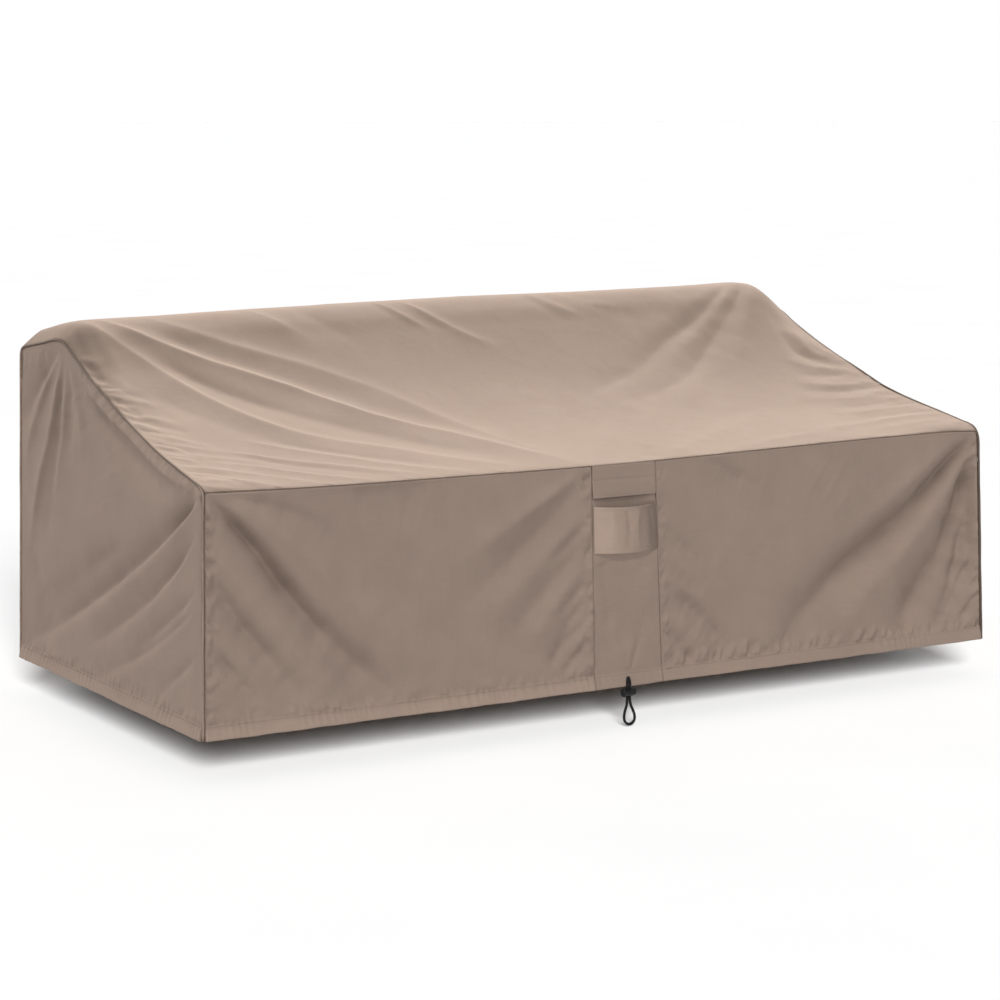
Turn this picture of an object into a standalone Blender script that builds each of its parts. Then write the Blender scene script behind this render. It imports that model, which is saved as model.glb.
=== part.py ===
"""Fitted outdoor sofa cover: a hollow cover of woven cloth with piped side seams, a centre strip with
a vent flap and a handle strap, and a drawcord with a cord lock at the front hem.

Metres. The panels are laid out in the cover's own frame: +X to the right, +Y to the back, +Z up, with
Z = 0 at the hem and Y = 0 halfway through its depth. An empty carries everything, so that the origin
of the world is on the underside of the cloth, in the middle of the ridge, where the cover is held up.
"""

import math

import bmesh
import bpy
import numpy as np
from mathutils import Matrix

# Driving dimensions
WIDTH = 2.00  # between the two side seams, at the top
DEPTH = 0.96  # between the front and the back seam, at the top
HEM_FLARE = 0.014  # how far the hem stands out past the top seams, on each side
HELD_Y = 0.30  # where the ridge is held up
CLOTH = 0.0015
HEM_HEIGHT = 0.029
HEM_PROUD = 0.0010  # how far the doubled hem stands out past the cloth above it
HEM_THICKNESS = 0.0035
SEAM_GAP = 0.0003  # between two pieces that lie on each other
STRIP_GAP = 0.0007  # between the strip and the cloth beside it
STRIP_HALF_WIDTH = 0.0835  # the centre strip of the front
PIPING_RADIUS = 0.0024
PIPING_ROOM = 0.0031  # from the line of a piped seam to the edge of the cloth beside it
FLAP_SEAM_HEIGHT = 0.455
FLAP_EDGE_HEIGHT = 0.417
FLAP_LIFT = 0.003  # how far the flap's free edge stands off
STRAP_TOP = 0.3995
STRAP_BOTTOM = 0.2975
STRAP_BULGE = 0.030
CORD_RADIUS = 0.0027
CORD_X = -0.0005  # the middle between the two strands
CORD_FORWARD = 0.0050  # from the hem's face to the strands, where they hang straight
LOOP_LEAN = 0.0033  # the loop hangs a little to the right
LOCK_LEFT = -0.0168
LOCK_HEIGHT = -0.0137
SLOT_SIZE = (0.0132, 0.0062)
BUTTON_LEFT = 0.0095

HALF_WIDTH = WIDTH / 2
HALF_DEPTH = DEPTH / 2
FACE_Y = -HALF_DEPTH - HEM_FLARE - HEM_PROUD  # the hem's face at its lower edge
CORD_Y = FACE_Y - CORD_FORWARD

# The line of a side seam: its height over the hem, and how far it is drawn in from the full width
SIDE_SEAM = (
    # y, height, drawn in
    (-0.48, 0.498, 0.000),
    (-0.46, 0.508, 0.000),
    (-0.42, 0.517, 0.001),
    (-0.34, 0.5325, 0.0035),
    (-0.26, 0.5485, 0.0075),
    (-0.18, 0.567, 0.012),
    (-0.10, 0.590, 0.0155),
    (-0.02, 0.615, 0.018),
    (0.06, 0.643, 0.020),
    (0.14, 0.674, 0.0205),
    (0.22, 0.709, 0.0205),
    (0.28, 0.739, 0.018),
    (0.30, 0.741, 0.017),
    (0.38, 0.729, 0.009),
    (0.48, 0.713, 0.000),
)
# The line of the seam along the front of the top
FRONT_SEAM = (
    # x, height
    (-1.00, 0.498),
    (-0.80, 0.493),
    (-0.40, 0.490),
    (0.00, 0.4893),
    (0.40, 0.4960),
    (0.75, 0.5015),
    (0.95, 0.5010),
    (1.00, 0.498),
)
# The top in the middle of its width: a flat back strip, a rounded ridge and a sagging slope
MIDDLE = (
    # y, height
    (-0.48, 0.490),
    (-0.40, 0.505),
    (-0.30, 0.525),
    (-0.20, 0.551),
    (-0.10, 0.586),
    (0.00, 0.631),
    (0.10, 0.689),
    (0.18, 0.742),
    (0.235, 0.780),
    (0.285, 0.8005),
    (0.33, 0.802),
    (0.40, 0.794),
    (0.48, 0.776),
)
# The ridge isn't level: what is added to MIDDLE there
RIDGE = (
    # x, height
    (-1.00, -0.020),
    (-0.90, -0.021),
    (-0.75, -0.019),
    (-0.50, -0.0125),
    (-0.25, -0.0075),
    (0.00, -0.0035),
    (0.40, -0.002),
    (0.75, 0.002),
    (0.90, 0.006),
    (1.00, 0.006),
)
# The centre strip leans a little: how far the front's cloth is shifted sideways
DRIFT = (
    # x, at the top, at the hem
    (-1.00, 0.0, 0.0),
    (-0.0835, -0.0015, 0.0020),
    (0.0835, -0.0040, 0.0090),
    (1.00, 0.0, 0.0),
)
SHOULDER_SLOPE = 0.84  # of the top, where it leaves a side seam
SHOULDER_TURN = 5  # how tightly the shoulder turns into the flat of the top
SAG_WIDTH = 0.30  # over which the sag of the slope begins beside a side seam
FRONT_REACH = 0.30  # how far back the line of the front seam still shapes the slope
CORNER_EASE = 0.006  # how far the front top corners are drawn in
CORNER_REACH = 0.030

# The folds. Each follows a curve through three points of its panel. Its width is the half width of a
# bell, at the start and at the end, and its height is negative for a trough.
TOP_FOLDS = (
    # start x, y, middle x, y, end x, y, width at start, at end, height
    (-0.87, 0.265, -0.50, -0.04, -0.115, -0.46, 0.034, 0.060, 0.015),
    (-0.82, 0.240, -0.55, 0.07, -0.28, -0.14, 0.034, 0.060, -0.010),
    (-0.76, 0.270, -0.52, 0.14, -0.30, -0.03, 0.040, 0.070, 0.009),
    (-0.83, 0.080, -0.53, -0.12, -0.27, -0.36, 0.034, 0.052, -0.012),
    (-0.90, 0.240, -0.61, -0.16, -0.24, -0.43, 0.032, 0.052, 0.011),
    (-0.91, 0.130, -0.72, -0.19, -0.46, -0.38, 0.032, 0.048, -0.009),
    (-0.97, -0.355, -0.79, -0.40, -0.58, -0.44, 0.018, 0.030, 0.006),
    (-0.95, -0.265, -0.77, -0.30, -0.58, -0.33, 0.020, 0.035, 0.006),
    (-0.96, -0.310, -0.78, -0.35, -0.60, -0.385, 0.018, 0.030, -0.005),
    (-0.126, 0.280, -0.07, 0.20, 0.01, 0.13, 0.020, 0.040, 0.006),
    (0.790, 0.270, 0.55, 0.12, 0.28, -0.01, 0.030, 0.055, -0.013),
    (0.815, 0.262, 0.60, 0.105, 0.38, -0.03, 0.025, 0.045, 0.007),
    (0.840, 0.245, 0.65, 0.07, 0.43, -0.06, 0.025, 0.045, -0.011),
    (0.870, 0.230, 0.76, 0.07, 0.62, -0.08, 0.025, 0.045, 0.007),
    (0.955, -0.150, 0.87, -0.14, 0.76, -0.10, 0.020, 0.040, -0.008),
    (0.970, -0.230, 0.87, -0.20, 0.76, -0.16, 0.018, 0.035, 0.007),
    (0.975, -0.298, 0.85, -0.27, 0.72, -0.22, 0.018, 0.035, -0.007),
    (0.985, -0.364, 0.80, -0.39, 0.56, -0.40, 0.018, 0.035, 0.007),
)
FRONT_FOLDS = (
    # start x, height, middle x, height, end x, height, width at start, at end, height
    (-0.985, 0.490, -0.790, 0.290, -0.550, 0.040, 0.020, 0.038, -0.017),
    (-0.930, 0.490, -0.720, 0.320, -0.480, 0.090, 0.025, 0.050, 0.007),
    (-0.990, 0.420, -0.860, 0.260, -0.680, 0.060, 0.020, 0.040, 0.007),
    (-0.980, 0.325, -0.850, 0.170, -0.750, 0.050, 0.018, 0.032, -0.011),
    (-0.985, 0.250, -0.900, 0.130, -0.820, 0.050, 0.018, 0.028, 0.005),
    (-0.990, 0.200, -0.930, 0.120, -0.870, 0.055, 0.018, 0.024, -0.006),
    (-0.095, 0.478, -0.165, 0.430, -0.250, 0.395, 0.018, 0.030, -0.008),
    (-0.092, 0.440, -0.170, 0.380, -0.260, 0.340, 0.018, 0.035, 0.005),
    (-0.092, 0.215, -0.140, 0.145, -0.170, 0.050, 0.018, 0.030, -0.007),
    (0.975, 0.470, 0.690, 0.275, 0.390, 0.035, 0.020, 0.042, -0.015),
    (0.980, 0.455, 0.780, 0.255, 0.560, 0.060, 0.018, 0.036, 0.009),
    (0.980, 0.430, 0.865, 0.240, 0.730, 0.030, 0.020, 0.036, -0.017),
    (0.985, 0.400, 0.900, 0.220, 0.800, 0.035, 0.018, 0.030, 0.008),
    (0.990, 0.360, 0.935, 0.200, 0.860, 0.040, 0.018, 0.028, -0.011),
    (0.990, 0.220, 0.940, 0.150, 0.880, 0.070, 0.018, 0.024, -0.006),
    (0.095, 0.190, 0.180, 0.110, 0.260, 0.050, 0.018, 0.030, -0.006),
)
SIDE_FOLDS = (
    # start y, height, middle y, height, end y, height, width at start, at end, height
    (0.284, 0.715, 0.330, 0.640, 0.370, 0.560, 0.016, 0.030, -0.009),
    (0.305, 0.722, 0.370, 0.680, 0.430, 0.630, 0.018, 0.030, 0.006),
    (0.262, 0.705, 0.370, 0.500, 0.450, 0.300, 0.018, 0.040, 0.009),
    (0.255, 0.690, 0.310, 0.530, 0.340, 0.400, 0.016, 0.034, -0.008),
    (0.230, 0.670, 0.240, 0.560, 0.255, 0.430, 0.016, 0.034, 0.007),
    (0.200, 0.640, 0.190, 0.560, 0.180, 0.470, 0.016, 0.030, -0.006),
    (0.170, 0.625, 0.150, 0.560, 0.130, 0.490, 0.016, 0.030, 0.006),
    (0.200, 0.672, -0.070, 0.570, -0.420, 0.492, 0.018, 0.024, 0.007),
    (-0.455, 0.485, -0.070, 0.270, 0.430, 0.050, 0.018, 0.044, 0.013),
    (-0.440, 0.445, -0.120, 0.255, 0.190, 0.090, 0.018, 0.038, -0.010),
    (-0.450, 0.430, -0.150, 0.215, 0.250, 0.045, 0.018, 0.038, 0.010),
    (-0.440, 0.360, -0.230, 0.190, 0.060, 0.045, 0.018, 0.034, -0.007),
    (-0.430, 0.270, -0.220, 0.150, 0.030, 0.040, 0.018, 0.032, 0.006),
)
BACK_FOLDS = (
    # start x, height, middle x, height, end x, height, width at start, at end, height
    (-0.960, 0.700, -0.780, 0.420, -0.640, 0.100, 0.030, 0.060, -0.010),
    (-0.900, 0.740, -0.600, 0.500, -0.350, 0.200, 0.040, 0.070, 0.008),
    (-0.300, 0.720, -0.250, 0.450, -0.280, 0.120, 0.040, 0.060, 0.006),
    (0.200, 0.730, 0.260, 0.450, 0.220, 0.100, 0.040, 0.060, 0.007),
    (0.960, 0.700, 0.760, 0.420, 0.600, 0.100, 0.030, 0.060, -0.010),
    (0.890, 0.740, 0.620, 0.500, 0.420, 0.220, 0.040, 0.070, 0.007),
)
CENTRE_FOLDS = (
    # start x, height, middle x, height, end x, height, width at start, at end, height
    (0.000, 0.040, -0.025, 0.090, -0.045, 0.150, 0.010, 0.024, 0.003),
    (0.004, 0.040, 0.030, 0.100, 0.050, 0.180, 0.010, 0.024, -0.003),
    (-0.060, 0.280, -0.045, 0.180, -0.050, 0.060, 0.018, 0.026, -0.003),
)
FOLD_SAMPLES = 24
SEAM_FADE = 0.030  # over which the folds die out towards a seam

# One strand of the drawcord, from its hole in the hem through the lock to the bottom of the loop
CORD_ROUTE = (
    # to the side, forward of the hem's face, height
    (0.0030, 0.0032, 0.0215),
    (0.0032, 0.0040, 0.0170),
    (0.0035, 0.0049, 0.0090),
    (0.0035, 0.0050, 0.0000),
    (0.0035, 0.0050, -0.0120),
    (0.0035, 0.0050, -0.0260),
    (0.0039, 0.0050, -0.0340),
    (0.0057, 0.0050, -0.0425),
    (0.0103, 0.0050, -0.0540),
    (0.0133, 0.0050, -0.0640),
    (0.0138, 0.0050, -0.0710),
    (0.0119, 0.0050, -0.0777),
    (0.0069, 0.0050, -0.0826),
    (0.0000, 0.0050, -0.0843),
)
# The cord lock, turned about its long axis
BARREL_PROFILE = (
    # from its left end, radius
    (0.0000, 0.0000),
    (0.0000, 0.0072),
    (0.0010, 0.0087),
    (0.0028, 0.0093),
    (0.0050, 0.0091),
    (0.0068, 0.0081),
    (0.0085, 0.0078),
    (0.0215, 0.0078),
    (0.0230, 0.0083),
    (0.0255, 0.0083),
    (0.0260, 0.0078),
    (0.0260, 0.0000),
)
BUTTON_PROFILE = (
    # from its left end, radius
    (0.0000, 0.0000),
    (0.0000, 0.0070),
    (0.0045, 0.0071),
    (0.0065, 0.0064),
    (0.0075, 0.0048),
    (0.0078, 0.0000),
)

# Rows and columns of the panels
HEM_ROWS = (0.0, HEM_HEIGHT - 0.0015, HEM_HEIGHT + 0.0025)
TOP_COLUMNS = 55
SLOPE_STATIONS = 18  # from the front to the ridge, for the top and both sides
RIDGE_STATIONS = (0.235, 0.262, 0.281, HELD_Y, 0.325, 0.36, 0.40, 0.44, 0.467, HALF_DEPTH)
CORNER_TRIM = 0.0045  # off a side panel's top corners, where its piping turns
FRONT_COLUMNS = 26
FRONT_ROWS = 12
SIDE_ROWS = 13
FAR_SIDE_ROWS = 8
BACK_COLUMNS = 26
BACK_ROWS = 8
STRIP_COLUMNS = 6
STRIP_ROWS = 12
STRAP_COLUMNS = 14
STRAP_ROWS = 4
CORD_STEP = 0.006  # between the points of the cord's tube
LOCK_SIDES = 20
MERGE_DISTANCE = 0.00005

CLOTH_COLOUR = (0.40, 0.32, 0.26)
PIPING_COLOUR = (0.13, 0.09, 0.07)
CORD_COLOUR = (0.012, 0.012, 0.013)


def clear_scene():
    for old in list(bpy.data.objects):
        bpy.data.objects.remove(old)


def material(name, colour, roughness):
    made = bpy.data.materials.new(name)
    made.use_nodes = True
    shader = made.node_tree.nodes["Principled BSDF"]
    shader.inputs["Base Color"].default_value = (*colour, 1.0)
    shader.inputs["Roughness"].default_value = roughness
    shader.inputs["Metallic"].default_value = 0.0
    return made


def through(table, at):
    """The columns of a table at these values of its first column, on a smooth curve through its rows."""
    rows = np.array(table, float)
    known = rows[:, 0]
    values = rows[:, 1:]
    slopes = np.gradient(values, known, axis=0)
    at = np.asarray(at, float)
    low = np.clip(np.searchsorted(known, at) - 1, 0, len(known) - 2)
    width = (known[low + 1] - known[low])[..., None]
    part = np.clip((at - known[low])[..., None] / width, 0, 1)
    left = values[low] * (1 + 2 * part) * (1 - part) ** 2
    right = values[low + 1] * part * part * (3 - 2 * part)
    turn = slopes[low] * part * (1 - part) ** 2 - slopes[low + 1] * part * part * (1 - part)
    return left + right + turn * width


def ease(value):
    """0 below 0, 1 above 1 and smooth between."""
    part = np.clip(value, 0, 1)
    return part * part * (3 - 2 * part)


def side_seam_height(y):
    return through(SIDE_SEAM, y)[..., 0]


def seam_drawn(y):
    """How far the bow of a side seam draws it in."""
    return through(SIDE_SEAM, y)[..., 1]


def corner_drawn(beside, below):
    """How far the cloth is drawn in beside and below a front top corner."""
    return CORNER_EASE * ease(1 - below / CORNER_REACH) * ease(1 - beside / CORNER_REACH)


def half_width(y):
    """How far the side seams are from the middle, at the top."""
    return HALF_WIDTH - seam_drawn(y) - corner_drawn(y + HALF_DEPTH, 0)


def front_seam_height(x):
    return through(FRONT_SEAM, x)[..., 0]


def plain_height(x, y):
    """The top over the hem: it rises from the side seams as two shoulders, and its slope sags."""
    seam = side_seam_height(y)
    inward = np.maximum(half_width(y) - np.abs(x), 0)
    ridge = ease((y + 0.10) / 0.35) * through(RIDGE, x)[..., 0]
    crown = through(MIDDLE, y)[..., 0] + ridge - seam
    climb = SHOULDER_SLOPE * inward
    raised = np.maximum(crown, 1e-4)
    shoulder = climb / (1 + (climb / raised) ** SHOULDER_TURN) ** (1 / SHOULDER_TURN)
    sag = np.minimum(crown, 0) * ease(inward / SAG_WIDTH)
    return seam + np.where(crown > 0, shoulder, sag)


def top_height(x, y):
    """The top over the hem, with its front edge on the line of the front seam."""
    front = np.full_like(x, -HALF_DEPTH)
    shift = front_seam_height(x) - plain_height(x, front)
    return plain_height(x, y) + shift * ease(1 - (y + HALF_DEPTH) / FRONT_REACH)


def fold_lift(folds, a, b):
    """How far the folds lift each point of a panel off its plain surface."""
    lift = np.zeros_like(a)
    along = np.linspace(0, 1, FOLD_SAMPLES)
    for a0, b0, am, bm, a1, b1, width0, width1, height in folds:
        bend_a = 2 * am - (a0 + a1) / 2
        bend_b = 2 * bm - (b0 + b1) / 2
        line_a = (1 - along) ** 2 * a0 + 2 * along * (1 - along) * bend_a + along**2 * a1
        line_b = (1 - along) ** 2 * b0 + 2 * along * (1 - along) * bend_b + along**2 * b1
        best = np.full_like(a, np.inf)
        place = np.zeros_like(a)
        for k in range(FOLD_SAMPLES - 1):
            step_a = line_a[k + 1] - line_a[k]
            step_b = line_b[k + 1] - line_b[k]
            part = ((a - line_a[k]) * step_a + (b - line_b[k]) * step_b) / (step_a**2 + step_b**2)
            part = np.clip(part, 0, 1)
            far = np.hypot(a - line_a[k] - part * step_a, b - line_b[k] - part * step_b)
            nearer = far < best
            best = np.where(nearer, far, best)
            place = np.where(nearer, (k + part) / (FOLD_SAMPLES - 1), place)
        width = width0 + (width1 - width0) * place
        fade = ease(place / 0.15) * (1 - place**3)
        lift += height * fade * np.exp(-((best / width) ** 2))
    return lift


def lifted(points, lift):
    """A grid of points moved out along its normals."""
    normal = np.cross(np.gradient(points, axis=1), np.gradient(points, axis=0))
    return points + normal / np.linalg.norm(normal, axis=2, keepdims=True) * lift[..., None]


def front_wall(x, height, top):
    """Points of the front for its panel coordinates: x at the seam, and the height over the hem."""
    low = 1 - height / top
    flare = HEM_FLARE * low
    known, at_top, at_hem = np.array(DRIFT).T
    drift = np.interp(x, known, at_top) * (1 - low) + np.interp(x, known, at_hem) * low
    drawn = np.sign(x) * corner_drawn(HALF_WIDTH - np.abs(x), top - height)
    return np.stack([x * (1 + flare / HALF_WIDTH) + drift - drawn, -HALF_DEPTH - flare, height], axis=-1)


def back_wall(x, height, top):
    flare = HEM_FLARE * (1 - height / top)
    return np.stack([x * (1 + flare / HALF_WIDTH), HALF_DEPTH + flare, height], axis=-1)


def side_wall(hand, y, height, top):
    """Points of a side: hand is -1 for the left one and 1 for the right one."""
    flare = HEM_FLARE * (1 - height / top)
    drawn = seam_drawn(y) * ease((height / top - 0.35) / 0.65) + corner_drawn(y + HALF_DEPTH, top - height)
    return np.stack([hand * (HALF_WIDTH + flare - drawn), y * (1 + flare / HALF_DEPTH), height], axis=-1)


def wall_heights(edge, rows):
    """A wall's rows: those of the hem, and then evenly up to its upper edge, which may slope."""
    parts = np.linspace(0, 1, rows)[1:, None]
    upper = HEM_ROWS[-1] + parts * (edge - HEM_ROWS[-1])
    return np.concatenate([np.repeat(np.array(HEM_ROWS)[:, None], len(edge), axis=1), upper])


def crowded(low, high, count, crowd):
    """Values from low to high that lie closer together at both ends."""
    even = np.linspace(0, 1, count)
    return low + (high - low) * (even - crowd * np.sin(2 * math.pi * even) / (2 * math.pi))


def stations():
    """The places along Y, from front to back, that the top, the sides and their piping share."""
    return np.concatenate([[-HALF_DEPTH], crowded(-0.467, 0.20, SLOPE_STATIONS, 0.1), RIDGE_STATIONS])


def from_ends(values, low, high, reach=SEAM_FADE):
    """0 at both ends of a stretch and 1 away from them."""
    return ease((values - low) / reach) * ease((high - values) / reach)


def wall_fade(values, low, high, heights, top):
    """1 in the open cloth of a wall, and 0 at its seams and its hem."""
    return from_ends(values, low, high) * from_ends(heights, 0, top)


def hem_lift(heights):
    return np.where(heights < HEM_HEIGHT, HEM_PROUD, 0)


def place(obj, parent, look):
    obj.data.materials.append(look)
    bpy.data.collections["outdoor_sofa_cover"].objects.link(obj)
    obj.parent = parent
    return obj


def split_quads(grid, folds):
    """Splits quads along the run of the folds: falling or rising to the right, or inward from both sides."""
    edge = {"fall": 1, "rise": -1, "both": 0}[folds]
    falling = [face for face in grid.faces if face.calc_center_median().x < edge]
    rising = [face for face in grid.faces if face.calc_center_median().x > edge]
    bmesh.ops.triangulate(grid, faces=falling, quad_method="ALTERNATE")
    bmesh.ops.triangulate(grid, faces=rising, quad_method="FIXED")


def cloth(name, points, parent, look, folds, hem=False):
    """A closed sheet whose outer face is this grid of points. With hem, its lower rows are doubled."""
    rows, columns = points.shape[:2]
    mesh = bpy.data.meshes.new(name)
    grid = bmesh.new()
    bmesh.ops.create_grid(grid, x_segments=columns - 1, y_segments=rows - 1, size=1)
    split_quads(grid, folds)
    doubled = []
    for vertex in grid.verts:
        column = round((vertex.co.x + 1) / 2 * (columns - 1))
        row = round((vertex.co.y + 1) / 2 * (rows - 1))
        vertex.co = points[row, column]
        doubled.append(row < len(HEM_ROWS) - 1)
    for face in grid.faces:
        face.smooth = True
    grid.to_mesh(mesh)
    grid.free()
    obj = bpy.data.objects.new(name, mesh)
    shell = obj.modifiers.new("thickness", "SOLIDIFY")
    shell.thickness = HEM_THICKNESS if hem else CLOTH
    shell.offset = -1
    if hem:
        group = obj.vertex_groups.new(name="hem")
        for index, thick in enumerate(doubled):
            group.add([index], 1.0 if thick else 0.0, "REPLACE")
        shell.vertex_group = group.name
        shell.thickness_vertex_group = CLOTH / HEM_THICKNESS
    return place(obj, parent, look)


def top_panel(parent, look):
    y = np.repeat(stations()[:, None], TOP_COLUMNS, axis=1)
    x = crowded(-1, 1, TOP_COLUMNS, 0.45) * (half_width(y) - PIPING_ROOM)
    plain = np.stack([x, y, top_height(x, y)], axis=-1)
    fade = from_ends(x, -HALF_WIDTH, HALF_WIDTH) * from_ends(y, -HALF_DEPTH, HALF_DEPTH)
    return cloth("top_panel", lifted(plain, fold_lift(TOP_FOLDS, x, y) * fade), parent, look, "both")


def upper_edge(top):
    """A wall's upper edge, just under the cloth of the top."""
    return top - CLOTH - SEAM_GAP - 0.0002


def front_panel(name, low, high, parent, look):
    x = crowded(low, high, FRONT_COLUMNS, 0.3)
    top = front_seam_height(x)
    heights = wall_heights(upper_edge(top), FRONT_ROWS)
    x = np.repeat(x[None], len(heights), axis=0)
    lift = fold_lift(FRONT_FOLDS, x, heights) * wall_fade(x, low, high, heights, top)
    points = lifted(front_wall(x, heights, top), lift + hem_lift(heights))
    return cloth(name, points, parent, look, "fall" if low < 0 else "rise", hem=True)


def front_centre(parent, look):
    """The centre strip's cloth, set back where it passes under the vent flap."""
    edge = STRIP_HALF_WIDTH - STRIP_GAP / 2
    x = np.linspace(-edge, edge, STRIP_COLUMNS)
    top = front_seam_height(x)
    heights = wall_heights(upper_edge(top), STRIP_ROWS)
    x = np.repeat(x[None], len(heights), axis=0)
    set_back = (CLOTH + 2 * SEAM_GAP) * ease((heights - FLAP_EDGE_HEIGHT + 0.03) / 0.03)
    lift = fold_lift(CENTRE_FOLDS, x, heights) * from_ends(x, -edge, edge, 0.02) + hem_lift(heights) - set_back
    points = lifted(front_wall(x, heights, top), lift)
    return cloth("front_panel_centre", points, parent, look, "both", hem=True)


def vent_flap(parent, look):
    """The flap over the strip: sewn down along a line, and free below it."""
    edge = STRIP_HALF_WIDTH - STRIP_GAP / 2
    x = np.linspace(-edge, edge, STRIP_COLUMNS + 2)
    top = front_seam_height(x)
    upper = upper_edge(top)
    levels = np.array([0, 0.5, 1.0])[:, None]
    free = np.repeat(FLAP_EDGE_HEIGHT + levels * (FLAP_SEAM_HEIGHT - FLAP_EDGE_HEIGHT), len(x), axis=1)
    heights = np.concatenate([free, [(FLAP_SEAM_HEIGHT + upper) / 2, upper]])
    x = np.repeat(x[None], len(heights), axis=0)
    below = np.clip((FLAP_SEAM_HEIGHT - heights) / (FLAP_SEAM_HEIGHT - FLAP_EDGE_HEIGHT), 0, 1)
    lift = FLAP_LIFT * below * (1 - 0.6 * (x / edge) ** 2)
    return cloth("vent_flap", lifted(front_wall(x, heights, top), lift), parent, look, "both")


def handle_strap(parent, look):
    """A band across the strip that bows out, so that a hand fits behind it."""
    half = STRIP_HALF_WIDTH - 0.0012
    across = np.linspace(-half, half, STRAP_COLUMNS)
    x, heights = np.meshgrid(across, np.linspace(STRAP_BOTTOM, STRAP_TOP, STRAP_ROWS))
    points = front_wall(x, heights, front_seam_height(x))
    points[..., 1] -= STRAP_BULGE * (1 - (np.abs(x) / half) ** 2.2) + CLOTH + 2 * SEAM_GAP
    return cloth("handle_strap", points, parent, look, "both")


def side_panel(name, hand, rows, parent, look):
    """Seen from outside, its columns run from left to right, so that its faces point out."""
    edge = HALF_DEPTH - PIPING_ROOM
    y = np.clip(stations(), -edge, edge)[::hand]
    top = side_seam_height(y)
    trim = CORNER_TRIM * (np.abs(y) > edge - 1e-6)
    heights = wall_heights(top - PIPING_ROOM - trim, rows)
    y = np.repeat(y[None], len(heights), axis=0)
    lift = fold_lift(SIDE_FOLDS, y, heights) * wall_fade(y, -HALF_DEPTH, HALF_DEPTH, heights, top)
    points = lifted(side_wall(hand, y, heights, top), lift + hem_lift(heights))
    return cloth(name, points, parent, look, "rise" if hand < 0 else "fall", hem=True)


def back_panel(parent, look):
    edge = HALF_WIDTH - PIPING_ROOM
    x = crowded(edge, -edge, BACK_COLUMNS, 0.5)
    top = top_height(x, np.full_like(x, HALF_DEPTH))
    heights = wall_heights(upper_edge(top), BACK_ROWS)
    x = np.repeat(x[None], len(heights), axis=0)
    lift = fold_lift(BACK_FOLDS, x, heights) * wall_fade(x, -HALF_WIDTH, HALF_WIDTH, heights, top)
    points = lifted(back_wall(x, heights, top), lift + hem_lift(heights))
    return cloth("back_panel", points, parent, look, "both", hem=True)


def tube(name, route, radius, resolution, parent, look):
    curve = bpy.data.curves.new(name, "CURVE")
    curve.dimensions = "3D"
    curve.bevel_depth = radius
    curve.bevel_resolution = resolution
    curve.use_fill_caps = True
    line = curve.splines.new("POLY")
    line.points.add(len(route) - 1)
    for point, at in zip(line.points, route):
        point.co = (*at, 1)
    return place(bpy.data.objects.new(name, curve), parent, look)


def piping(name, hand, parent, look):
    """The piping of a side: up the back corner, along the top of the side and down the front corner."""
    turn = 0.004
    back = side_seam_height(HALF_DEPTH)
    front = side_seam_height(-HALF_DEPTH)
    rise = np.linspace(0.001, back - turn, 7)
    run = np.clip(stations()[::-1], turn - HALF_DEPTH, HALF_DEPTH - turn)
    fall = np.concatenate([[front - turn, front - 0.015, front - 0.030], np.linspace(front - 0.06, 0.001, 6)])
    y = np.concatenate([np.full(len(rise), HALF_DEPTH), run, np.full(len(fall), -HALF_DEPTH)])
    height = np.concatenate([rise, side_seam_height(run), fall])
    return tube(name, side_wall(hand, y, height, side_seam_height(y)), PIPING_RADIUS, 1, parent, look)


def drawcord(parent, look):
    """One cord: a strand down through the lock, the loop, and the other strand back up to the hem."""
    side, forward, height = np.array(CORD_ROUTE).T
    lean = LOOP_LEAN * ease((-0.026 - height) / 0.06)
    down = np.stack([CORD_X + lean - side, FACE_Y - forward, height], axis=1)
    up = np.stack([CORD_X + lean + side, FACE_Y - forward, height], axis=1)[-2::-1]
    knots = np.concatenate([down, up])
    far = np.append(0, np.cumsum(np.linalg.norm(np.diff(knots, axis=0), axis=1)))
    at = np.linspace(0, far[-1], 2 * round(far[-1] / CORD_STEP / 2) + 1)
    return tube("drawcord", through(np.column_stack([far, knots]), at), CORD_RADIUS, 2, parent, look)


def turned(name, profile, left, parent, look):
    """A solid turned about the lock's long axis, which is the X axis of its own frame."""
    mesh = bpy.data.meshes.new(name)
    line = [(along, 0, radius) for along, radius in profile]
    mesh.from_pydata(line, [(k, k + 1) for k in range(len(line) - 1)], [])
    obj = bpy.data.objects.new(name, mesh)
    obj.location = (left, CORD_Y, LOCK_HEIGHT)
    turn = obj.modifiers.new("turn", "SCREW")
    turn.axis = "X"
    turn.steps = LOCK_SIDES
    turn.render_steps = LOCK_SIDES
    turn.use_normal_flip = True
    turn.use_merge_vertices = True
    turn.merge_threshold = MERGE_DISTANCE
    return place(obj, parent, look)


def slot_cutter():
    """The upright slot for both strands."""
    mesh = bpy.data.meshes.new("lock_slot")
    shape = bmesh.new()
    size = Matrix.Diagonal((*SLOT_SIZE, 0.03, 1))
    bmesh.ops.create_cube(shape, size=1, matrix=Matrix.Translation((CORD_X, CORD_Y, LOCK_HEIGHT)) @ size)
    upright = [edge for edge in shape.edges if abs(edge.verts[0].co.z - edge.verts[1].co.z) > 0.01]
    bmesh.ops.bevel(shape, geom=upright, offset=0.0026, segments=3, affect="EDGES", profile=0.5)
    shape.to_mesh(mesh)
    shape.free()
    cutter = bpy.data.objects.new("lock_slot", mesh)
    cutter.display_type = "WIRE"
    cutter.hide_render = True
    bpy.data.collections["cutters"].objects.link(cutter)
    return cutter


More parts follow.
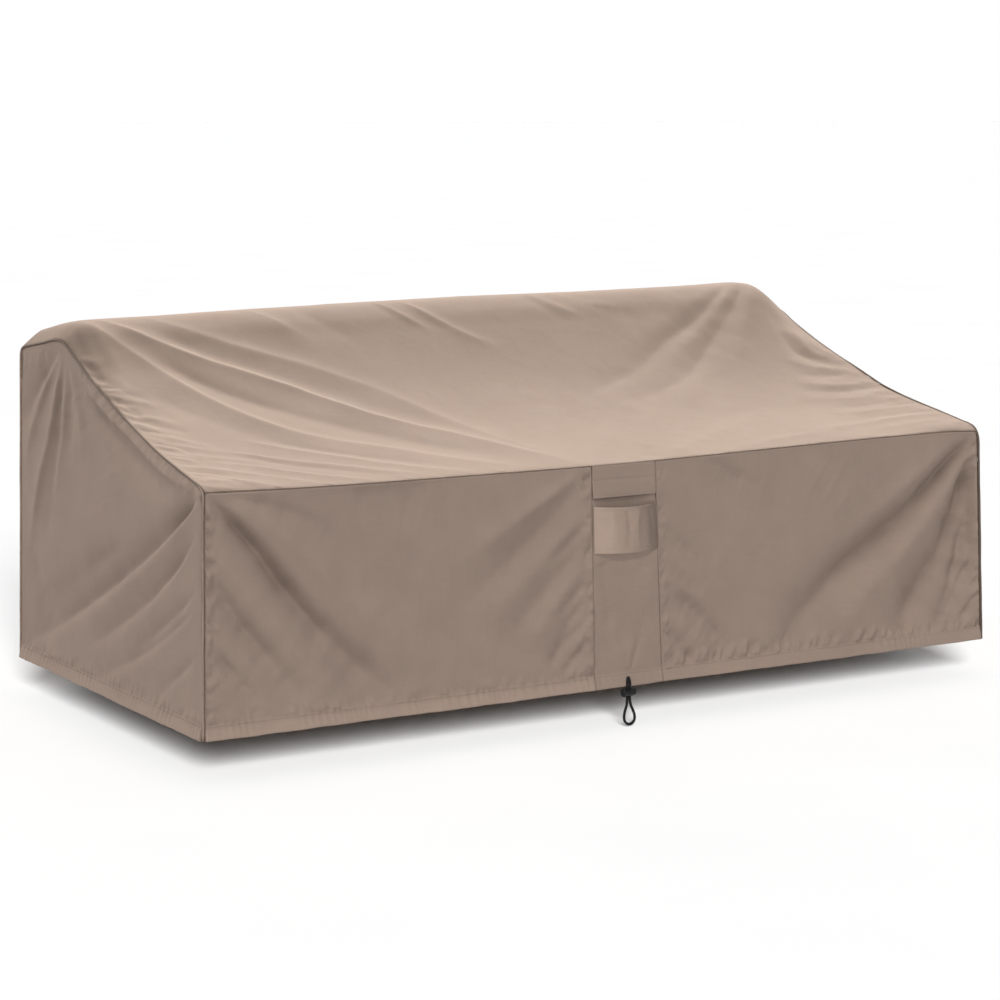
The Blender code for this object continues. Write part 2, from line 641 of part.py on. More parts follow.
def cord_lock(parent, look):
    """The barrel with its slot, and the button that is pressed into it."""
    barrel = turned("cord_lock_barrel", BARREL_PROFILE, LOCK_LEFT, parent, look)
    cutter = slot_cutter()
    cutter.parent = parent
    slot = barrel.modifiers.new("slot", "BOOLEAN")
    slot.operation = "DIFFERENCE"
    slot.solver = "EXACT"
    slot.object = cutter
    turned("cord_lock_button", BUTTON_PROFILE, BUTTON_LEFT, parent, look)


def build():
    clear_scene()
    scene = bpy.context.scene
    for name in ("outdoor_sofa_cover", "cutters"):
        scene.collection.children.link(bpy.data.collections.new(name))
    cover = bpy.data.objects.new("cover_frame", None)
    held = top_height(np.array([0.0]), np.array([HELD_Y]))[0] - CLOTH
    cover.location = (0, -HELD_Y, -held)
    bpy.data.collections["outdoor_sofa_cover"].objects.link(cover)
    woven = material("woven_cloth", CLOTH_COLOUR, 0.85)
    dark = material("piping_cloth", PIPING_COLOUR, 0.8)
    black_cord = material("cord_black", CORD_COLOUR, 0.7)
    black_plastic = material("plastic_black", CORD_COLOUR, 0.4)

    strip = STRIP_HALF_WIDTH + STRIP_GAP / 2
    corner = HALF_WIDTH - PIPING_ROOM
    top_panel(cover, woven)
    side_panel("side_panel_left", -1, SIDE_ROWS, cover, woven)
    side_panel("side_panel_right", 1, FAR_SIDE_ROWS, cover, woven)
    front_panel("front_panel_left", -corner, -strip, cover, woven)
    front_panel("front_panel_right", strip, corner, cover, woven)
    front_centre(cover, woven)
    vent_flap(cover, woven)
    handle_strap(cover, woven)
    back_panel(cover, woven)
    piping("piping_left", -1, cover, dark)
    piping("piping_right", 1, cover, dark)
    drawcord(cover, black_cord)
    cord_lock(cover, black_plastic)


build()
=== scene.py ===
"""The dressed outdoor sofa cover: cloth with its folds, puckers and sewing, piping, drawcord and lock.

Metres. The panels are laid out in the cover's own frame: +X to the right, +Y to the back, +Z up, with
Z = 0 at the hem and Y = 0 halfway through the depth. Everything is then moved so that the origin is on
the underside of the top, in the middle of the ridge, where the cover is held up.
"""

import math

import bmesh
import bpy
import numpy as np
from mathutils import Matrix, Vector


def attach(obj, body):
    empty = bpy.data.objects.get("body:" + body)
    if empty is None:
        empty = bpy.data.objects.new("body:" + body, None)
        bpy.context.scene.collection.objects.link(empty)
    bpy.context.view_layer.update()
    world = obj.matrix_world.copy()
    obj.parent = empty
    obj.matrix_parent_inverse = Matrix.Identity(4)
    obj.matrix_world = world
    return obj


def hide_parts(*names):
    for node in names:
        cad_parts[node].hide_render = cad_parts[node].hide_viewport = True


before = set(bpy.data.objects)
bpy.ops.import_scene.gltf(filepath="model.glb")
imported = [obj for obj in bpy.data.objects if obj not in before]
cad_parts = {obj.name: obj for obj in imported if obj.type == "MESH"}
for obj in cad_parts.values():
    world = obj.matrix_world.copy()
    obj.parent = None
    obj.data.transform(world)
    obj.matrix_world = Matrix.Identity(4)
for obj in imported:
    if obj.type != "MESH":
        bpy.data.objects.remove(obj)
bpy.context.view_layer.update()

# The cover's sizes, as in its construction
HALF_WIDTH = 1.00
HALF_DEPTH = 0.48
HEM_FLARE = 0.014
HELD_Y = 0.30
CLOTH = 0.0015
HEM_HEIGHT = 0.029
HEM_PROUD = 0.0010
HEM_FULL = 0.0008  # prouder still at its fold
HEM_TURN = 0.0052  # how far it stands out below
HEM_THICKNESS = 0.0035
SEAM_GAP = 0.0003
STRIP_HALF_WIDTH = 0.0835
PIPING_RADIUS = 0.0020
PIPING_ROOM = 0.0010
CORNER_PIPING = 1.55  # how much thicker it is down the corners
CORNER_ROOM = 0.0030
RIGHT_CORNER_ROOM = 0.0026
FLAP_SEAM_HEIGHT = 0.455
FLAP_EDGE_HEIGHT = 0.417
FLAP_LIFT = 0.003
STRAP_TOP = 0.3995
STRAP_BOTTOM = 0.2975
STRAP_BULGE = 0.030
CORD_RADIUS = 0.0027
CORD_X = -0.0005
CORD_FORWARD = 0.0050
LOOP_LEAN = 0.0033
LOCK_LEFT = -0.0168
LOCK_HEIGHT = -0.0137
SLOT_SIZE = (0.0132, 0.0062)
BUTTON_LEFT = 0.0095
FACE_Y = -HALF_DEPTH - HEM_FLARE - HEM_PROUD
CORD_Y = FACE_Y - CORD_FORWARD

SIDE_SEAM = (
    # y, height, drawn in
    (-0.48, 0.498, 0.000),
    (-0.46, 0.508, 0.000),
    (-0.42, 0.517, 0.001),
    (-0.34, 0.5325, 0.0035),
    (-0.26, 0.5485, 0.0075),
    (-0.18, 0.567, 0.012),
    (-0.10, 0.590, 0.0155),
    (-0.02, 0.615, 0.018),
    (0.06, 0.643, 0.020),
    (0.14, 0.674, 0.0205),
    (0.22, 0.709, 0.0205),
    (0.28, 0.739, 0.018),
    (0.30, 0.741, 0.017),
    (0.38, 0.729, 0.009),
    (0.48, 0.713, 0.000),
)
FRONT_SEAM = (
    # x, height
    (-1.00, 0.498),
    (-0.80, 0.493),
    (-0.40, 0.490),
    (0.00, 0.4893),
    (0.40, 0.4960),
    (0.75, 0.5015),
    (0.95, 0.5010),
    (1.00, 0.498),
)
MIDDLE = (
    # y, height
    (-0.48, 0.490),
    (-0.40, 0.505),
    (-0.30, 0.525),
    (-0.20, 0.551),
    (-0.10, 0.586),
    (0.00, 0.631),
    (0.10, 0.689),
    (0.18, 0.742),
    (0.235, 0.780),
    (0.285, 0.8005),
    (0.33, 0.802),
    (0.40, 0.794),
    (0.48, 0.776),
)
RIDGE = (
    # x, height
    (-1.00, -0.020),
    (-0.90, -0.021),
    (-0.75, -0.019),
    (-0.50, -0.0125),
    (-0.25, -0.0075),
    (0.00, -0.0035),
    (0.40, -0.002),
    (0.75, 0.002),
    (0.90, 0.006),
    (1.00, 0.006),
)
DRIFT = (
    # x, at the top, at the hem
    (-1.00, 0.0, 0.0),
    (-0.0835, -0.0015, 0.0020),
    (0.0835, -0.0040, 0.0090),
    (1.00, 0.0, 0.0),
)
SHOULDER_SLOPE = 0.84
RIGHT_SLOPE = 0.80
RIGHT_RISE = 0.0062  # of the right side's seam along its slope
SHOULDER_TURN = 5
RIGHT_TURN = 8
SAG_WIDTH = 0.30
FRONT_REACH = 0.30
CORNER_EASE = 0.004
CORNER_REACH = 0.020
RISE_FROM = -0.16  # where the right seam starts to be raised, and over what depth
RISE_RUN = 0.14
RISE_END = 0.28
RISE_FALL = 0.05
RIDGE_FROM = -0.10  # where the ridge's own line starts to count
RIDGE_RUN = 0.35
LOW_SHOULDER = 0.4  # how steep a shoulder is low on the slope, as a share of that at the ridge
SHOULDER_FROM = 0.10
SHOULDER_RUN = 0.16
DRAWN_FROM = 0.35  # the part of a side's height above which its seam draws it in

# The folds, listed one by one. A fold follows a smooth curve through its points. Its flanks fall off over
# its width, at the start and at the end, and its height is negative for a trough. The tip is the
# rounding of its crest, and a lean above 0 makes the flank on the left of its run the wider one.
TOP_FOLDS = (
    # points (x, y), width at start, at end, height, tip, lean
    (((-0.930, 0.350), (-0.875, 0.268), (-0.748, 0.159), (-0.627, 0.071), (-0.506, -0.029),
      (-0.407, -0.130), (-0.303, -0.219), (-0.212, -0.326), (-0.120, -0.445), (-0.085, -0.487)), 0.020,
     0.038, 0.0135, 0.0030, -0.45),
    (((-0.835, 0.350), (-0.764, 0.268), (-0.624, 0.173), (-0.452, 0.073), (-0.346, -0.020),
      (-0.237, -0.194), (-0.130, -0.389), (-0.100, -0.460)), 0.022, 0.036, 0.0060, 0.007, -0.35),
    (((-0.815, 0.250), (-0.660, 0.132), (-0.500, 0.020), (-0.390, -0.075), (-0.270, -0.190)),
     0.024, 0.036, -0.004, 0.022, 0.0),
    (((-0.660, 0.340), (-0.560, 0.262), (-0.470, 0.190), (-0.380, 0.120)), 0.026, 0.040, 0.0035,
     0.020, 0.0),
    (((-0.955, 0.340), (-0.916, 0.251), (-0.850, 0.146), (-0.790, 0.042), (-0.707, -0.089),
      (-0.640, -0.165), (-0.560, -0.225), (-0.473, -0.285), (-0.400, -0.345), (-0.315, -0.412),
      (-0.210, -0.475)), 0.020, 0.034, 0.0085, 0.006, -0.40),
    (((-0.840, 0.175), (-0.740, 0.050), (-0.600, -0.080), (-0.480, -0.175), (-0.350, -0.290),
      (-0.225, -0.410)), 0.026, 0.032, -0.0078, 0.018, -0.2),
    (((-0.900, 0.060), (-0.820, -0.060), (-0.720, -0.170), (-0.600, -0.260)), 0.028, 0.034,
     -0.0045, 0.020, 0.0),
    (((-0.790, -0.170), (-0.690, -0.250), (-0.605, -0.313), (-0.502, -0.391), (-0.407, -0.448),
      (-0.360, -0.478)), 0.014, 0.020, 0.0055, 0.004, -0.40),
    (((-0.740, -0.170), (-0.620, -0.262), (-0.500, -0.348), (-0.390, -0.425)), 0.014, 0.018, -0.0040,
     0.008, 0.0),
    (((-0.880, -0.235), (-0.790, -0.280), (-0.707, -0.325), (-0.599, -0.391), (-0.504, -0.447),
      (-0.450, -0.478)), 0.012, 0.018, 0.0050, 0.004, -0.40),
    (((-0.850, -0.262), (-0.740, -0.332), (-0.630, -0.400), (-0.540, -0.452)), 0.012, 0.016, -0.0035,
     0.007, 0.0),
    (((-0.930, -0.310), (-0.840, -0.345), (-0.743, -0.395), (-0.671, -0.437), (-0.600, -0.475)),
     0.010, 0.016, 0.0050, 0.003, -0.40),
    (((-0.965, -0.355), (-0.870, -0.392), (-0.790, -0.432), (-0.715, -0.475)), 0.009, 0.015, 0.0045,
     0.003, -0.40),
    (((-0.972, -0.405), (-0.905, -0.435), (-0.830, -0.475)), 0.009, 0.013, 0.0038, 0.003, -0.40),
    (((-0.976, -0.130), (-0.929, -0.175), (-0.850, -0.235)), 0.010, 0.018, 0.0042, 0.005, 0.0),
    (((-0.972, -0.190), (-0.915, -0.228), (-0.830, -0.270)), 0.010, 0.016, 0.0040, 0.005, 0.0),
    (((-0.970, -0.255), (-0.890, -0.290), (-0.790, -0.325)), 0.009, 0.015, 0.0036, 0.005, 0.0),
    (((-0.948, 0.345), (-0.962, 0.290), (-0.972, 0.225), (-0.972, 0.165)), 0.006, 0.007, 0.0018, 0.003,
     0.0),
    (((-0.942, 0.340), (-0.955, 0.275), (-0.963, 0.215), (-0.966, 0.150)), 0.005, 0.006, -0.0008, 0.002,
     0.0),
    (((-0.937, 0.345), (-0.946, 0.270), (-0.949, 0.200), (-0.951, 0.130), (-0.958, 0.085)), 0.007,
     0.009, 0.0012, 0.003, 0.0),
    (((-0.931, 0.340), (-0.933, 0.250), (-0.934, 0.170), (-0.942, 0.105)), 0.005, 0.007, -0.0008, 0.003,
     0.0),
    (((-0.924, 0.330), (-0.918, 0.230), (-0.912, 0.150), (-0.920, 0.080)), 0.010, 0.012, 0.0014, 0.005,
     0.0),
    (((-0.935, 0.110), (-0.928, 0.060), (-0.945, 0.020)), 0.008, 0.009, 0.0018, 0.005, 0.0),
    (((-0.960, 0.050), (-0.930, 0.032), (-0.895, 0.005)), 0.009, 0.012, -0.0030, 0.005, 0.0),
    (((-0.962, 0.012), (-0.927, 0.004), (-0.885, -0.024)), 0.009, 0.012, 0.0036, 0.005, 0.0),
    (((-0.974, -0.046), (-0.929, -0.066), (-0.880, -0.105)), 0.009, 0.013, 0.0038, 0.005, 0.0),
    (((-0.974, -0.080), (-0.930, -0.102), (-0.870, -0.148)), 0.009, 0.013, -0.0034, 0.006, 0.0),
    (((-0.565, 0.350), (-0.514, 0.272), (-0.479, 0.225), (-0.420, 0.165)), 0.014, 0.026, 0.0055,
     0.006, -0.35),
    (((-0.440, 0.350), (-0.400, 0.262), (-0.350, 0.200), (-0.290, 0.140)), 0.016, 0.026, -0.0030,
     0.012, 0.0),
    (((-0.235, 0.350), (-0.205, 0.278), (-0.175, 0.222), (-0.130, 0.172)), 0.009, 0.018, -0.0018,
     0.007, 0.0),
    (((-0.215, 0.350), (-0.185, 0.274), (-0.150, 0.222), (-0.100, 0.170)), 0.008, 0.016, 0.0046,
     0.003, -0.40),
    (((-0.165, 0.350), (-0.124, 0.276), (-0.080, 0.215), (-0.028, 0.161), (0.050, 0.105)), 0.011,
     0.024, 0.0062, 0.003, -0.40),
    (((-0.170, 0.330), (-0.130, 0.250), (-0.085, 0.190), (-0.020, 0.125)), 0.012, 0.024, -0.0016,
     0.010, 0.0),
    (((0.180, 0.350), (0.205, 0.284), (0.232, 0.232), (0.290, 0.180)), 0.009, 0.018, -0.0020, 0.007,
     0.0),
    (((0.205, 0.350), (0.235, 0.280), (0.268, 0.235), (0.330, 0.188)), 0.008, 0.018, 0.0046, 0.003,
     -0.40),
    (((0.265, 0.350), (0.305, 0.284), (0.360, 0.242), (0.460, 0.212)), 0.009, 0.022, 0.0054, 0.003,
     -0.40),
    (((0.285, 0.330), (0.330, 0.262), (0.390, 0.222), (0.480, 0.190)), 0.011, 0.020, -0.0045, 0.009,
     0.0),
    (((0.870, 0.350), (0.790, 0.262), (0.656, 0.174), (0.522, 0.108), (0.389, 0.029), (0.240, -0.045),
      (0.120, -0.100)),
     0.015, 0.034, -0.0100, 0.008, -0.2),
    (((0.835, 0.350), (0.750, 0.262), (0.620, 0.195), (0.480, 0.130), (0.350, 0.065)), 0.018, 0.040,
     0.0040, 0.014, 0.0),
    (((0.890, 0.350), (0.812, 0.256), (0.690, 0.172), (0.570, 0.092), (0.450, 0.015)), 0.013, 0.030,
     0.0062, 0.006, 0.2),
    (((0.905, 0.340), (0.837, 0.246), (0.715, 0.150), (0.608, 0.068), (0.498, -0.015), (0.370, -0.080),
      (0.230, -0.135)),
     0.013, 0.034, -0.0092, 0.008, -0.2),
    (((0.918, 0.320), (0.862, 0.235), (0.770, 0.135), (0.680, 0.045), (0.560, -0.040)), 0.014, 0.034,
     0.0050, 0.009, 0.0),
    (((0.922, 0.250), (0.885, 0.170), (0.862, 0.095), (0.858, 0.030), (0.900, -0.006), (0.955, -0.020)),
     0.014, 0.014, -0.0068, 0.008, 0.2),
    (((0.938, 0.180), (0.898, 0.085), (0.905, 0.022), (0.962, 0.004)), 0.014, 0.012, 0.0048, 0.007,
     0.0),
    (((0.964, -0.046), (0.910, -0.044), (0.860, -0.030), (0.800, 0.010)), 0.010, 0.018, 0.0052,
     0.005, 0.0),
    (((0.964, -0.074), (0.900, -0.074), (0.850, -0.070), (0.780, -0.048)), 0.010, 0.018, -0.0048,
     0.007, 0.0),
    (((0.970, -0.120), (0.900, -0.128), (0.840, -0.120), (0.760, -0.090)), 0.010, 0.018, 0.0048,
     0.005, 0.0),
    (((0.970, -0.150), (0.900, -0.156), (0.830, -0.150), (0.740, -0.125)), 0.010, 0.018, -0.0040,
     0.007, 0.0),
    (((0.975, -0.200), (0.890, -0.203), (0.800, -0.190), (0.700, -0.160)), 0.010, 0.020, 0.0036,
     0.007, 0.0),
    (((0.976, -0.243), (0.870, -0.250), (0.757, -0.236)), 0.009, 0.016, -0.0036, 0.006, 0.0),
    (((0.980, -0.285), (0.894, -0.295), (0.728, -0.277)), 0.009, 0.016, 0.0038, 0.005, 0.0),
    (((0.984, -0.330), (0.880, -0.340), (0.760, -0.330)), 0.009, 0.014, -0.0032, 0.006, 0.0),
    (((0.990, -0.372), (0.859, -0.366), (0.685, -0.378), (0.580, -0.400)), 0.010, 0.016, 0.0042,
     0.005, 0.0),
    (((0.990, -0.415), (0.860, -0.418), (0.700, -0.425)), 0.009, 0.014, 0.0032, 0.005, 0.0),
    (((0.110, -0.470), (0.308, -0.360), (0.449, -0.290), (0.590, -0.230)), 0.020, 0.040, 0.0038,
     0.016, 0.0),
    (((0.300, -0.470), (0.463, -0.425), (0.640, -0.412)), 0.014, 0.020, 0.0036, 0.007, 0.0),
    (((0.076, -0.478), (0.092, -0.430), (0.130, -0.380)), 0.009, 0.014, -0.0036, 0.006, 0.0),
)
FRONT_FOLDS = (
    # points (x, height), width at start, at end, height, tip, lean
    (((-0.992, 0.492), (-0.895, 0.393), (-0.815, 0.292), (-0.752, 0.214), (-0.663, 0.126),
      (-0.560, 0.030)), 0.006, 0.040, -0.032, 0.012, -0.30),
    (((-0.960, 0.500), (-0.840, 0.415), (-0.720, 0.300), (-0.590, 0.185), (-0.490, 0.080)), 0.014,
     0.034, 0.007, 0.020, 0.0),
    (((-0.992, 0.400), (-0.900, 0.290), (-0.800, 0.170), (-0.720, 0.060)), 0.014, 0.030, 0.006,
     0.020, 0.0),
    (((-0.990, 0.345), (-0.920, 0.235), (-0.855, 0.155), (-0.770, 0.045)), 0.009, 0.028, -0.017,
     0.014, -0.30),
    (((-0.992, 0.200), (-0.935, 0.130), (-0.871, 0.057)), 0.009, 0.018, -0.009, 0.010, -0.30),
    (((-0.975, 0.494), (-0.870, 0.466), (-0.780, 0.430), (-0.700, 0.385)), 0.009, 0.026, -0.0085,
     0.012, -0.30),
    (((-0.700, 0.486), (-0.560, 0.450), (-0.430, 0.400)), 0.028, 0.050, -0.006, 0.030, 0.0),
    (((-0.096, 0.470), (-0.190, 0.385), (-0.280, 0.310), (-0.400, 0.225), (-0.500, 0.170)), 0.014,
     0.044, -0.0072, 0.016, -0.20),
    (((-0.096, 0.492), (-0.150, 0.455), (-0.232, 0.412), (-0.321, 0.362), (-0.430, 0.300)), 0.010,
     0.034, 0.0095, 0.010, 0.0),
    (((-0.092, 0.400), (-0.180, 0.325), (-0.280, 0.235), (-0.380, 0.160)), 0.012, 0.034, 0.0060, 0.014, 0.0),
    (((-0.090, 0.340), (-0.160, 0.272), (-0.250, 0.180), (-0.330, 0.090)), 0.012, 0.034, -0.0060,
     0.014, -0.20),
    (((-0.090, 0.295), (-0.123, 0.262), (-0.175, 0.205), (-0.250, 0.105)), 0.009, 0.026, 0.0055,
     0.010, 0.0),
    (((-0.090, 0.218), (-0.146, 0.150), (-0.196, 0.046)), 0.010, 0.024, -0.0075, 0.010, -0.25),
    (((-0.090, 0.160), (-0.120, 0.120), (-0.145, 0.060)), 0.009, 0.014, 0.0055, 0.007, 0.0),
    (((-0.092, 0.118), (-0.130, 0.080), (-0.168, 0.036)), 0.008, 0.013, -0.0085, 0.005, -0.35),
    (((-0.089, 0.172), (-0.118, 0.140), (-0.165, 0.100), (-0.200, 0.055)), 0.006, 0.011, -0.0060, 0.004,
     -0.35),
    (((-0.089, 0.250), (-0.125, 0.215), (-0.175, 0.165)), 0.006, 0.014, -0.0055, 0.005, -0.35),
    (((-0.089, 0.372), (-0.130, 0.335), (-0.200, 0.285)), 0.006, 0.016, -0.0050, 0.006, -0.35),
    (((0.098, 0.118), (0.130, 0.080), (0.168, 0.034)), 0.006, 0.013, -0.0055, 0.005, 0.30),
    (((0.094, 0.270), (0.140, 0.225), (0.200, 0.185)), 0.006, 0.014, -0.0045, 0.006, 0.30),
    (((-0.090, 0.072), (-0.112, 0.050), (-0.130, 0.030)), 0.007, 0.010, 0.005, 0.005, 0.0),
    (((0.992, 0.490), (0.912, 0.418), (0.805, 0.330), (0.714, 0.268), (0.620, 0.214), (0.540, 0.156),
      (0.474, 0.104), (0.400, 0.030)), 0.014, 0.050, -0.036, 0.014, 0.05),
    (((0.980, 0.440), (0.880, 0.345), (0.780, 0.245), (0.660, 0.150), (0.560, 0.050)), 0.014, 0.034,
     0.008, 0.018, 0.0),
    (((0.999, 0.470), (0.972, 0.380), (0.935, 0.285), (0.880, 0.195), (0.802, 0.100), (0.735, 0.024)),
     0.020, 0.050, -0.044, 0.012, 0.0),
    (((0.990, 0.410), (0.930, 0.280), (0.870, 0.160), (0.800, 0.035)), 0.012, 0.022, 0.008, 0.010,
     0.0),
    (((0.996, 0.345), (0.966, 0.250), (0.930, 0.145), (0.868, 0.032)), 0.011, 0.032, -0.027, 0.009,
     0.05),
    (((0.995, 0.290), (0.960, 0.190), (0.915, 0.090), (0.890, 0.036)), 0.009, 0.016, 0.006, 0.008,
     0.0),
    (((0.995, 0.225), (0.940, 0.125), (0.885, 0.036)), 0.009, 0.018, -0.011, 0.007, 0.30),
    (((0.995, 0.118), (0.963, 0.077), (0.922, 0.034)), 0.008, 0.012, -0.008, 0.006, 0.20),
    (((0.940, 0.480), (0.800, 0.400), (0.690, 0.330), (0.600, 0.280)), 0.014, 0.030, 0.007, 0.014, 0.0),
    (((0.096, 0.230), (0.193, 0.131), (0.279, 0.038)), 0.012, 0.028, -0.011, 0.014, -0.30),
    (((0.096, 0.165), (0.170, 0.095), (0.235, 0.035)), 0.012, 0.022, 0.005, 0.012, 0.0),
    (((0.215, 0.493), (0.286, 0.445), (0.370, 0.410)), 0.012, 0.026, -0.007, 0.010, -0.30),
    (((0.098, 0.340), (0.160, 0.285), (0.240, 0.240)), 0.012, 0.024, -0.005, 0.012, -0.20),
    (((0.450, 0.485), (0.560, 0.400), (0.640, 0.330)), 0.030, 0.050, 0.006, 0.030, 0.0),
)
SIDE_FOLDS = (
    # points (y, height), width at start, at end, height, tip, lean
    (((0.285, 0.726), (0.350, 0.668), (0.407, 0.610), (0.462, 0.540)), 0.009, 0.022, -0.008, 0.010,
     0.3),
    (((0.282, 0.722), (0.335, 0.650), (0.395, 0.560), (0.455, 0.440)), 0.008, 0.024, 0.0075, 0.006,
     0.3),
    (((0.274, 0.722), (0.296, 0.620), (0.336, 0.490), (0.384, 0.370), (0.440, 0.240)), 0.009, 0.030,
     0.0095, 0.007, 0.4),
    (((0.268, 0.716), (0.285, 0.590), (0.305, 0.440), (0.340, 0.270)), 0.009, 0.030, -0.0070, 0.014,
     -0.2),
    (((0.262, 0.716), (0.256, 0.610), (0.264, 0.500), (0.290, 0.380)), 0.008, 0.022, 0.0070, 0.008,
     0.3),
    (((0.250, 0.700), (0.232, 0.600), (0.226, 0.470)), 0.009, 0.022, -0.0055, 0.010, 0.0),
    (((0.252, 0.712), (0.210, 0.640), (0.172, 0.570), (0.150, 0.490)), 0.009, 0.022, 0.0062, 0.008,
     0.3),
    (((0.232, 0.690), (0.182, 0.620), (0.140, 0.540)), 0.010, 0.022, -0.0045, 0.012, 0.0),
    (((0.205, 0.672), (0.040, 0.615), (-0.134, 0.560), (-0.320, 0.514), (-0.462, 0.492)), 0.011,
     0.013, 0.0120, 0.008, -0.3),
    (((0.190, 0.630), (0.030, 0.572), (-0.140, 0.516), (-0.330, 0.468)), 0.013, 0.022, -0.0095, 0.012,
     0.0),
    (((-0.474, 0.494), (-0.395, 0.444), (-0.300, 0.390), (-0.192, 0.330), (-0.047, 0.258),
      (0.135, 0.170), (0.363, 0.074), (0.462, 0.038)), 0.012, 0.044, -0.018, 0.006, 0.60),
    (((-0.455, 0.466), (-0.310, 0.378), (-0.180, 0.300), (-0.040, 0.230), (0.135, 0.145)), 0.012,
     0.036, 0.006, 0.020, -0.2),
    (((-0.466, 0.420), (-0.407, 0.374), (-0.299, 0.296), (-0.216, 0.243), (-0.072, 0.169),
      (0.109, 0.088)), 0.009, 0.028, -0.0085, 0.006, 0.50),
    (((-0.468, 0.308), (-0.430, 0.284), (-0.295, 0.205), (-0.150, 0.132)), 0.008, 0.020, -0.0058,
     0.006, 0.40),
    (((-0.450, 0.262), (-0.286, 0.174), (-0.124, 0.098), (0.073, 0.025)), 0.008, 0.022, -0.0052,
     0.006, 0.40),
    (((-0.468, 0.176), (-0.360, 0.110), (-0.250, 0.046)), 0.008, 0.014, -0.0038, 0.006, 0.3),
    (((-0.100, 0.350), (0.060, 0.280), (0.240, 0.190), (0.400, 0.115)), 0.024, 0.040, -0.0060, 0.020,
     0.0),
    (((0.060, 0.580), (0.000, 0.480), (-0.020, 0.400)), 0.030, 0.040, 0.0035, 0.030, 0.0),
    (((0.460, 0.330), (0.380, 0.200), (0.280, 0.090)), 0.020, 0.030, -0.0045, 0.020, 0.0),
)
BACK_FOLDS = (
    # points (x, height), width at start, at end, height, tip, lean
    (((-0.960, 0.700), (-0.780, 0.420), (-0.640, 0.100)), 0.024, 0.044, -0.011, 0.026, 0.0),
    (((-0.900, 0.740), (-0.600, 0.500), (-0.350, 0.200)), 0.026, 0.050, 0.010, 0.020, 0.0),
    (((-0.980, 0.600), (-0.870, 0.350), (-0.800, 0.080)), 0.018, 0.030, 0.006, 0.014, 0.0),
    (((-0.300, 0.720), (-0.250, 0.450), (-0.280, 0.120)), 0.026, 0.046, 0.006, 0.030, 0.0),
    (((0.200, 0.730), (0.260, 0.450), (0.220, 0.100)), 0.026, 0.046, 0.007, 0.030, 0.0),
    (((0.960, 0.700), (0.760, 0.420), (0.600, 0.100)), 0.024, 0.044, -0.011, 0.026, 0.0),
    (((0.890, 0.740), (0.620, 0.500), (0.420, 0.220)), 0.026, 0.050, 0.008, 0.020, 0.0),
    (((0.980, 0.560), (0.880, 0.330), (0.820, 0.080)), 0.018, 0.030, 0.005, 0.014, 0.0),
)
CENTRE_FOLDS = (
    # points (x, height), width at start, at end, height, tip, lean
    (((0.000, 0.036), (-0.020, 0.075), (-0.045, 0.150)), 0.005, 0.014, 0.0030, 0.006, 0.0),
    (((0.004, 0.036), (0.022, 0.080), (0.050, 0.180)), 0.005, 0.014, -0.0025, 0.006, 0.0),
    (((0.001, 0.036), (0.003, 0.065), (0.010, 0.110)), 0.004, 0.008, 0.0018, 0.004, 0.0),
    (((-0.060, 0.280), (-0.045, 0.180), (-0.050, 0.060)), 0.012, 0.018, -0.0030, 0.012, 0.0),
    (((0.060, 0.260), (0.050, 0.150), (0.062, 0.050)), 0.012, 0.018, 0.0020, 0.012, 0.0),
)
STRAP_FOLDS = (
    # points (x, height), width at start, at end, height, tip, lean
    (((-0.012, 0.396), (-0.008, 0.350), (-0.014, 0.301)), 0.005, 0.006, -0.0018, 0.004, 0.0),
    (((0.018, 0.396), (0.012, 0.350), (0.016, 0.301)), 0.006, 0.006, 0.0015, 0.004, 0.0),
    (((-0.046, 0.396), (-0.042, 0.350), (-0.050, 0.301)), 0.007, 0.008, 0.0012, 0.006, 0.0),
    (((0.052, 0.396), (0.058, 0.350), (0.054, 0.301)), 0.006, 0.008, -0.0014, 0.005, 0.0),
)

